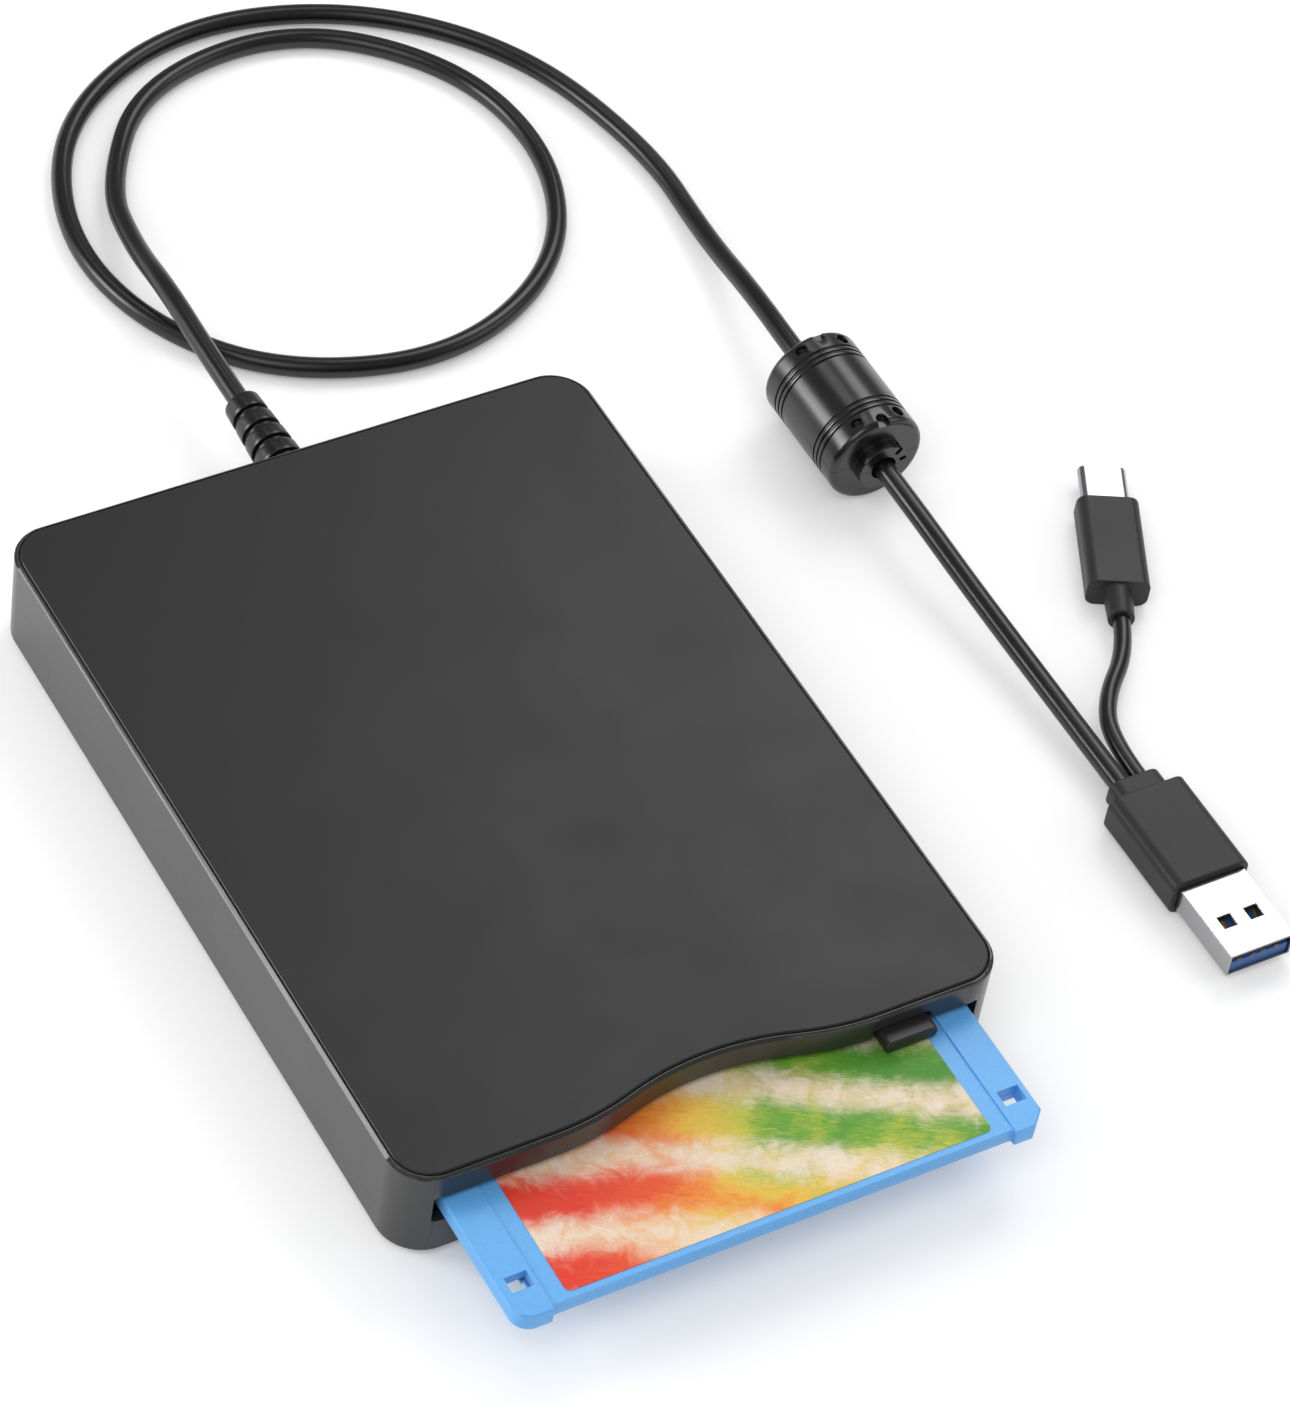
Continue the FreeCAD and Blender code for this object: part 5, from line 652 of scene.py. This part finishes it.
# %% Softened copies
# Edges that turn less than this many degrees are left: the small steps of round walls.
SMALL_TURN = 28
# The same for parts with chamfers or fine steps, whose edges of 45 degrees stay.
LARGE_TURN = 50
SMOOTH_UP_TO = 35
MERGED_WITHIN_MM = 0.002
FLAT_WITHIN = 0.3


def select_only(piece):
    """Leaves one piece selected and active."""
    bpy.ops.object.select_all(action="DESELECT")
    piece.select_set(True)
    bpy.context.view_layer.objects.active = piece


def soften(piece, width_mm, segments=2, smallest_turn=SMALL_TURN):
    """Rounds a piece's sharp edges with a bevel that is applied, and smooths its curves."""
    select_only(piece)
    rounding = piece.modifiers.new("soft_edges", "BEVEL")
    rounding.width = width_mm * MM
    rounding.segments = segments
    rounding.limit_method = "ANGLE"
    rounding.angle_limit = math.radians(smallest_turn)
    rounding.use_clamp_overlap = False
    bpy.ops.object.modifier_apply(modifier=rounding.name)
    bpy.ops.object.shade_smooth_by_angle(angle=math.radians(SMOOTH_UP_TO))
    even = piece.modifiers.new("flat_faces_stay_flat", "WEIGHTED_NORMAL")
    even.keep_sharp = True
    bpy.ops.object.modifier_apply(modifier=even.name)


def soft_copy(node_name, body, material, width_mm, segments=2, smallest_turn=SMALL_TURN):
    """A copy of one of the frame's parts with soft edges, in its place."""
    piece = bpy.data.objects.new(node_name + "_soft", nodes[node_name].data.copy())
    scene.collection.objects.link(piece)
    select_only(piece)
    bpy.ops.object.mode_set(mode="EDIT")
    bpy.ops.mesh.select_all(action="SELECT")
    bpy.ops.mesh.remove_doubles(threshold=MERGED_WITHIN_MM * MM)
    bpy.ops.mesh.dissolve_limited(angle_limit=math.radians(FLAT_WITHIN))
    bpy.ops.object.mode_set(mode="OBJECT")
    faces = len(piece.data.polygons)
    soften(piece, width_mm, segments, smallest_turn)
    dress(piece, material)
    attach(piece, body)
    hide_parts(node_name)
    print(piece.name, "faces before and after:", faces, len(piece.data.polygons))
    return piece


# %% The case and its lid
soft_copy("case_body", "case", case_abs, width_mm=0.1, smallest_turn=LARGE_TURN)
soft_copy("top_cover", "case", lid_abs_painted_shade, width_mm=0.1)

# %% The disk's two halves and the button
# The disk's rim already has a small chamfer, so only its square edges are rounded.
soft_copy(
    "disk_top_shell", "disk", disk_abs, width_mm=0.04, smallest_turn=LARGE_TURN)
soft_copy(
    "disk_bottom_shell", "disk", disk_abs, width_mm=0.08, smallest_turn=LARGE_TURN)
soft_copy(
    "eject_button", "eject_slide", button_abs, width_mm=0.12,
    smallest_turn=LARGE_TURN)

# %% The boot, the core's housing and the plugs
boot_skin = soft_copy("strain_relief", "case", cord_pvc, width_mm=0.2)
core_lower = soft_copy(
    "core_case_lower", "case", core_abs, width_mm=0.06, smallest_turn=LARGE_TURN)
core_upper = soft_copy(
    "core_case_upper", "case", core_abs, width_mm=0.06, smallest_turn=LARGE_TURN)
plug_a_body = soft_copy(
    "usb_a_overmould", "case", plug_pvc, width_mm=0.3, segments=3)
plug_c_body = soft_copy(
    "usb_c_overmould", "case", plug_pvc, width_mm=0.15, smallest_turn=LARGE_TURN)
plug_a_shell = soft_copy("usb_a_shell", "case", plug_nickel, width_mm=0.12)
plug_c_shell = soft_copy("usb_c_shell", "case", plug_nickel, width_mm=0.06)

# %% [markdown]
# ## The contacts in the USB-A plug
#
# Four flat gold contacts lie on the blue tongue near its tip. Behind them are five
# springy ones, which bow up below the windows of the shell. One of each kind is made by
# extruding the end of a thin strip step by step, and its copies stand in a row.

# %% Contacts on the tongue
STRIP_THICKNESS_MM = 0.15
INLAY_MM = 0.03
FLAT_WIDTH_MM = 1.0
FLAT_START_MM = 0.1
FLAT_STEPS_MM = ((0.4, 0.0), (3.6, 0.0), (0.4, -0.05))
FLAT_OFFSETS_MM = (-3.5, -1.0, 1.0, 3.5)
SPRING_WIDTH_MM = 0.7
SPRING_START_MM = 5.8
SPRING_STEPS_MM = (
    (0.5, 0.0), (0.7, 0.3), (0.7, 0.2), (0.6, 0.0), (0.8, -0.25), (0.8, -0.25), (0.6, 0.0))
SPRING_OFFSETS_MM = (-4.0, -2.0, 0.0, 2.0, 4.0)
STRIP_EDGE_MM = 0.04
tongue_low, tongue_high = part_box("usb_a_tongue")


def contact_strip(name, width_mm, start_mm, steps_mm):
    """A strip on the tongue. Each step is a run along the tongue and a rise."""
    middle = (tongue_low.x + tongue_high.x) / 2
    start = tongue_low.y + start_mm * MM
    height = tongue_high.z + (STRIP_THICKNESS_MM / 2 - INLAY_MM) * MM
    bpy.ops.mesh.primitive_plane_add(
        size=1, location=(middle, start, height), rotation=(math.radians(90), 0, 0))
    strip = bpy.context.object
    strip.name = name
    strip.scale = (width_mm * MM, STRIP_THICKNESS_MM * MM, 1)
    bpy.ops.object.transform_apply(location=True, rotation=True, scale=True)
    bpy.ops.object.mode_set(mode="EDIT")
    bpy.ops.mesh.select_all(action="SELECT")
    for run, rise in steps_mm:
        bpy.ops.mesh.extrude_region_move(
            TRANSFORM_OT_translate={"value": (0, run * MM, rise * MM)})
    bpy.ops.mesh.select_all(action="SELECT")
    bpy.ops.mesh.normals_make_consistent(inside=False)
    bpy.ops.object.mode_set(mode="OBJECT")
    soften(strip, STRIP_EDGE_MM, smallest_turn=LARGE_TURN)
    return strip


def row_of(strip, offsets_mm):
    """Copies of a strip across the tongue, each with its own mesh, joined as one piece."""
    copies = []
    for offset in offsets_mm[1:]:
        copy = bpy.data.objects.new(strip.name, strip.data.copy())
        scene.collection.objects.link(copy)
        copy.location.x = offset * MM
        copies.append(copy)
    strip.location.x = offsets_mm[0] * MM
    select_only(strip)
    for copy in copies:
        copy.select_set(True)
    bpy.ops.object.join()
    bpy.ops.object.transform_apply(location=True, rotation=True, scale=True)
    dress(strip, contact_gold)
    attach(strip, "case")
    return strip


flat_contacts = row_of(
    contact_strip("usb_a_flat_contacts", FLAT_WIDTH_MM, FLAT_START_MM, FLAT_STEPS_MM),
    FLAT_OFFSETS_MM)
spring_contacts = row_of(
    contact_strip("usb_a_spring_contacts", SPRING_WIDTH_MM, SPRING_START_MM, SPRING_STEPS_MM),
    SPRING_OFFSETS_MM)
print("contacts:", len(flat_contacts.data.polygons), len(spring_contacts.data.polygons))

# %% [markdown]
# ## The springs of the eject slide
#
# Two compression springs push the button's slide forward. Each is a steel wire wound
# round a line: points on a helix make a curve, a round bevel gives the wire, and the
# curve is turned into a mesh. A little room is left in front of each, so that the slide
# can be pushed in past its rest.

# %% Wound springs
SPRING_TURNS = 9
POINTS_A_TURN = 16
WIRE_MM = 0.4
PUSH_ROOM_MM = 0.85
springs_low, springs_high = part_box("eject_springs")


def wound_spring(name, side):
    """A wound spring at one side of the slide: -1 is the left one, 1 the right one."""
    half_wire = WIRE_MM * MM / 2
    outer = (springs_high.z - springs_low.z) / 2
    radius = outer - half_wire
    edge = springs_low.x if side < 0 else springs_high.x
    middle = Vector((edge - side * outer, 0, (springs_low.z + springs_high.z) / 2))
    front = springs_low.y + PUSH_ROOM_MM * MM + half_wire
    back = springs_high.y - half_wire
    curve = bpy.data.curves.new(name, "CURVE")
    curve.dimensions = "3D"
    curve.bevel_depth = half_wire
    curve.bevel_resolution = 3
    curve.use_fill_caps = True
    wire = curve.splines.new("POLY")
    last = SPRING_TURNS * POINTS_A_TURN
    wire.points.add(last)
    for step, point in enumerate(wire.points):
        turn = math.tau * step / POINTS_A_TURN
        along = front + (back - front) * step / last
        offset = Vector((radius * math.cos(turn), along, radius * math.sin(turn)))
        point.co = (*(middle + offset), 1.0)
    wire.use_smooth = True
    spring = bpy.data.objects.new(name, curve)
    scene.collection.objects.link(spring)
    select_only(spring)
    bpy.ops.object.convert(target="MESH")
    return bpy.context.object


springs = wound_spring("eject_springs_wound", -1)
other_spring = wound_spring("other_spring", 1)
select_only(springs)
other_spring.select_set(True)
bpy.ops.object.join()
dress(springs, spring_steel)
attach(springs, "case")
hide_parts("eject_springs")
print("springs in mm:", [round(1000 * side, 1) for side in springs_high - springs_low])

# %% [markdown]
# ## The cords
#
# The main cord is soft PVC over four wires, 3.6 mm thick. It leaves the ribbed boot at
# the back, sinks to the table, goes about one and a half times round and passes through
# the moulded core to the plug. A NURBS curve is right for it: a few listed points give
# one smooth line, and a round bevel gives the skin. The points are the frame's own
# route, in metres.

# %% Cord routes
CORD_DIAMETER = 0.0036
PIGTAIL_DIAMETER = 0.003
# Places along the two routes, which the photograph shows end to end.
RELIEF_X = 0.0012
RELIEF_END = 0.0895
RELIEF_HEIGHT = 0.00975
CORD_FLOOR = CORD_DIAMETER / 2
CORE_X = 0.0939
CORE_HEIGHT = 0.00875
PLUG_HEIGHT = 0.0036
PLUG_BACK = -0.0358

CORD_ROUTE = (
    (RELIEF_X, RELIEF_END, RELIEF_HEIGHT),
    (RELIEF_X, 0.1025, RELIEF_HEIGHT),
    (0.0018, 0.1185, 0.0095),
    (0.0034, 0.1345, 0.0048),
    (0.0070, 0.1520, CORD_FLOOR),
    (0.0235, 0.1740, CORD_FLOOR),
    (0.0550, 0.1780, CORD_FLOOR),
    (0.0780, 0.1580, CORD_FLOOR),
    (0.0828, 0.1310, CORD_FLOOR),
    (0.0710, 0.1060, CORD_FLOOR),
    (0.0440, 0.0925, CORD_FLOOR),
    (0.0140, 0.1005, CORD_FLOOR),
    (-0.0020, 0.1205, CORD_FLOOR),
    (-0.0050, 0.1455, CORD_FLOOR),
    (0.0075, 0.1715, CORD_FLOOR),
    (0.0355, 0.1855, CORD_FLOOR),
    (0.0670, 0.1790, CORD_FLOOR),
    (0.0905, 0.1575, CORD_FLOOR),
    (0.0994, 0.1260, CORD_FLOOR),
    (0.0976, 0.1020, 0.0023),
    (0.0954, 0.0830, 0.0070),
    (CORE_X, 0.0660, CORE_HEIGHT),
    (CORE_X, 0.0290, CORE_HEIGHT),
    (0.0952, 0.0090, 0.0059),
    (0.0966, -0.0150, PLUG_HEIGHT),
    (0.0966, PLUG_BACK, PLUG_HEIGHT),
)

PLUG_C_ANGLE = math.radians(63.5)
PLUG_C_ROOT = Vector((0.1193, 0.0014, 0.0029))
PLUG_C_ALONG = Vector((math.cos(PLUG_C_ANGLE), math.sin(PLUG_C_ANGLE), 0))
SLEEVE_LENGTH = 0.006
PIGTAIL_LAST_RUN = 0.007
SLEEVE_END = PLUG_C_ROOT - PLUG_C_ALONG * SLEEVE_LENGTH

PIGTAIL_ROUTE = (
    (0.1003, PLUG_BACK, PLUG_HEIGHT),
    (0.1003, -0.0263, PLUG_HEIGHT),
    (0.1048, -0.0178, 0.0031),
    tuple(SLEEVE_END - PLUG_C_ALONG * PIGTAIL_LAST_RUN),
    tuple(SLEEVE_END),
)


def smooth_cord(name, route, diameter):
    """A round cord along one smooth NURBS line, which its points draw towards them."""
    curve = bpy.data.curves.new(name, "CURVE")
    curve.dimensions = "3D"
    curve.bevel_depth = diameter / 2
    curve.bevel_resolution = 6
    curve.resolution_u = 16
    curve.use_fill_caps = True
    spline = curve.splines.new("NURBS")
    spline.points.add(len(route) - 1)
    for point, place in zip(spline.points, route):
        point.co = (*place, 1.0)
    spline.order_u = 3
    spline.use_endpoint_u = True
    spline.use_smooth = True
    cord = bpy.data.objects.new(name, curve)
    scene.collection.objects.link(cord)
    return cord


main_cord = smooth_cord("usb_cord_skin", CORD_ROUTE, CORD_DIAMETER)
short_lead = smooth_cord("pigtail_skin", PIGTAIL_ROUTE, PIGTAIL_DIAMETER)


def line_length(curve_object):
    """The length of a curve's own line, read from the curve with no bevel."""
    curve = curve_object.data
    depth = curve.bevel_depth
    curve.bevel_depth = 0
    bpy.context.view_layer.update()
    evaluated = curve_object.evaluated_get(bpy.context.evaluated_depsgraph_get())
    mesh = bpy.data.meshes.new_from_object(evaluated)
    places = [vertex.co for vertex in mesh.vertices]
    total = sum((b - a).length for a, b in zip(places, places[1:]))
    curve.bevel_depth = depth
    bpy.data.meshes.remove(mesh)
    return total


print("cord lengths in m:", round(line_length(main_cord), 4), round(line_length(short_lead), 4))

for cord, replaced in ((main_cord, "usb_cord"), (short_lead, "pigtail_cord")):
    dress(cord, cord_pvc)
    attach(cord, "case")
    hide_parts(replaced)
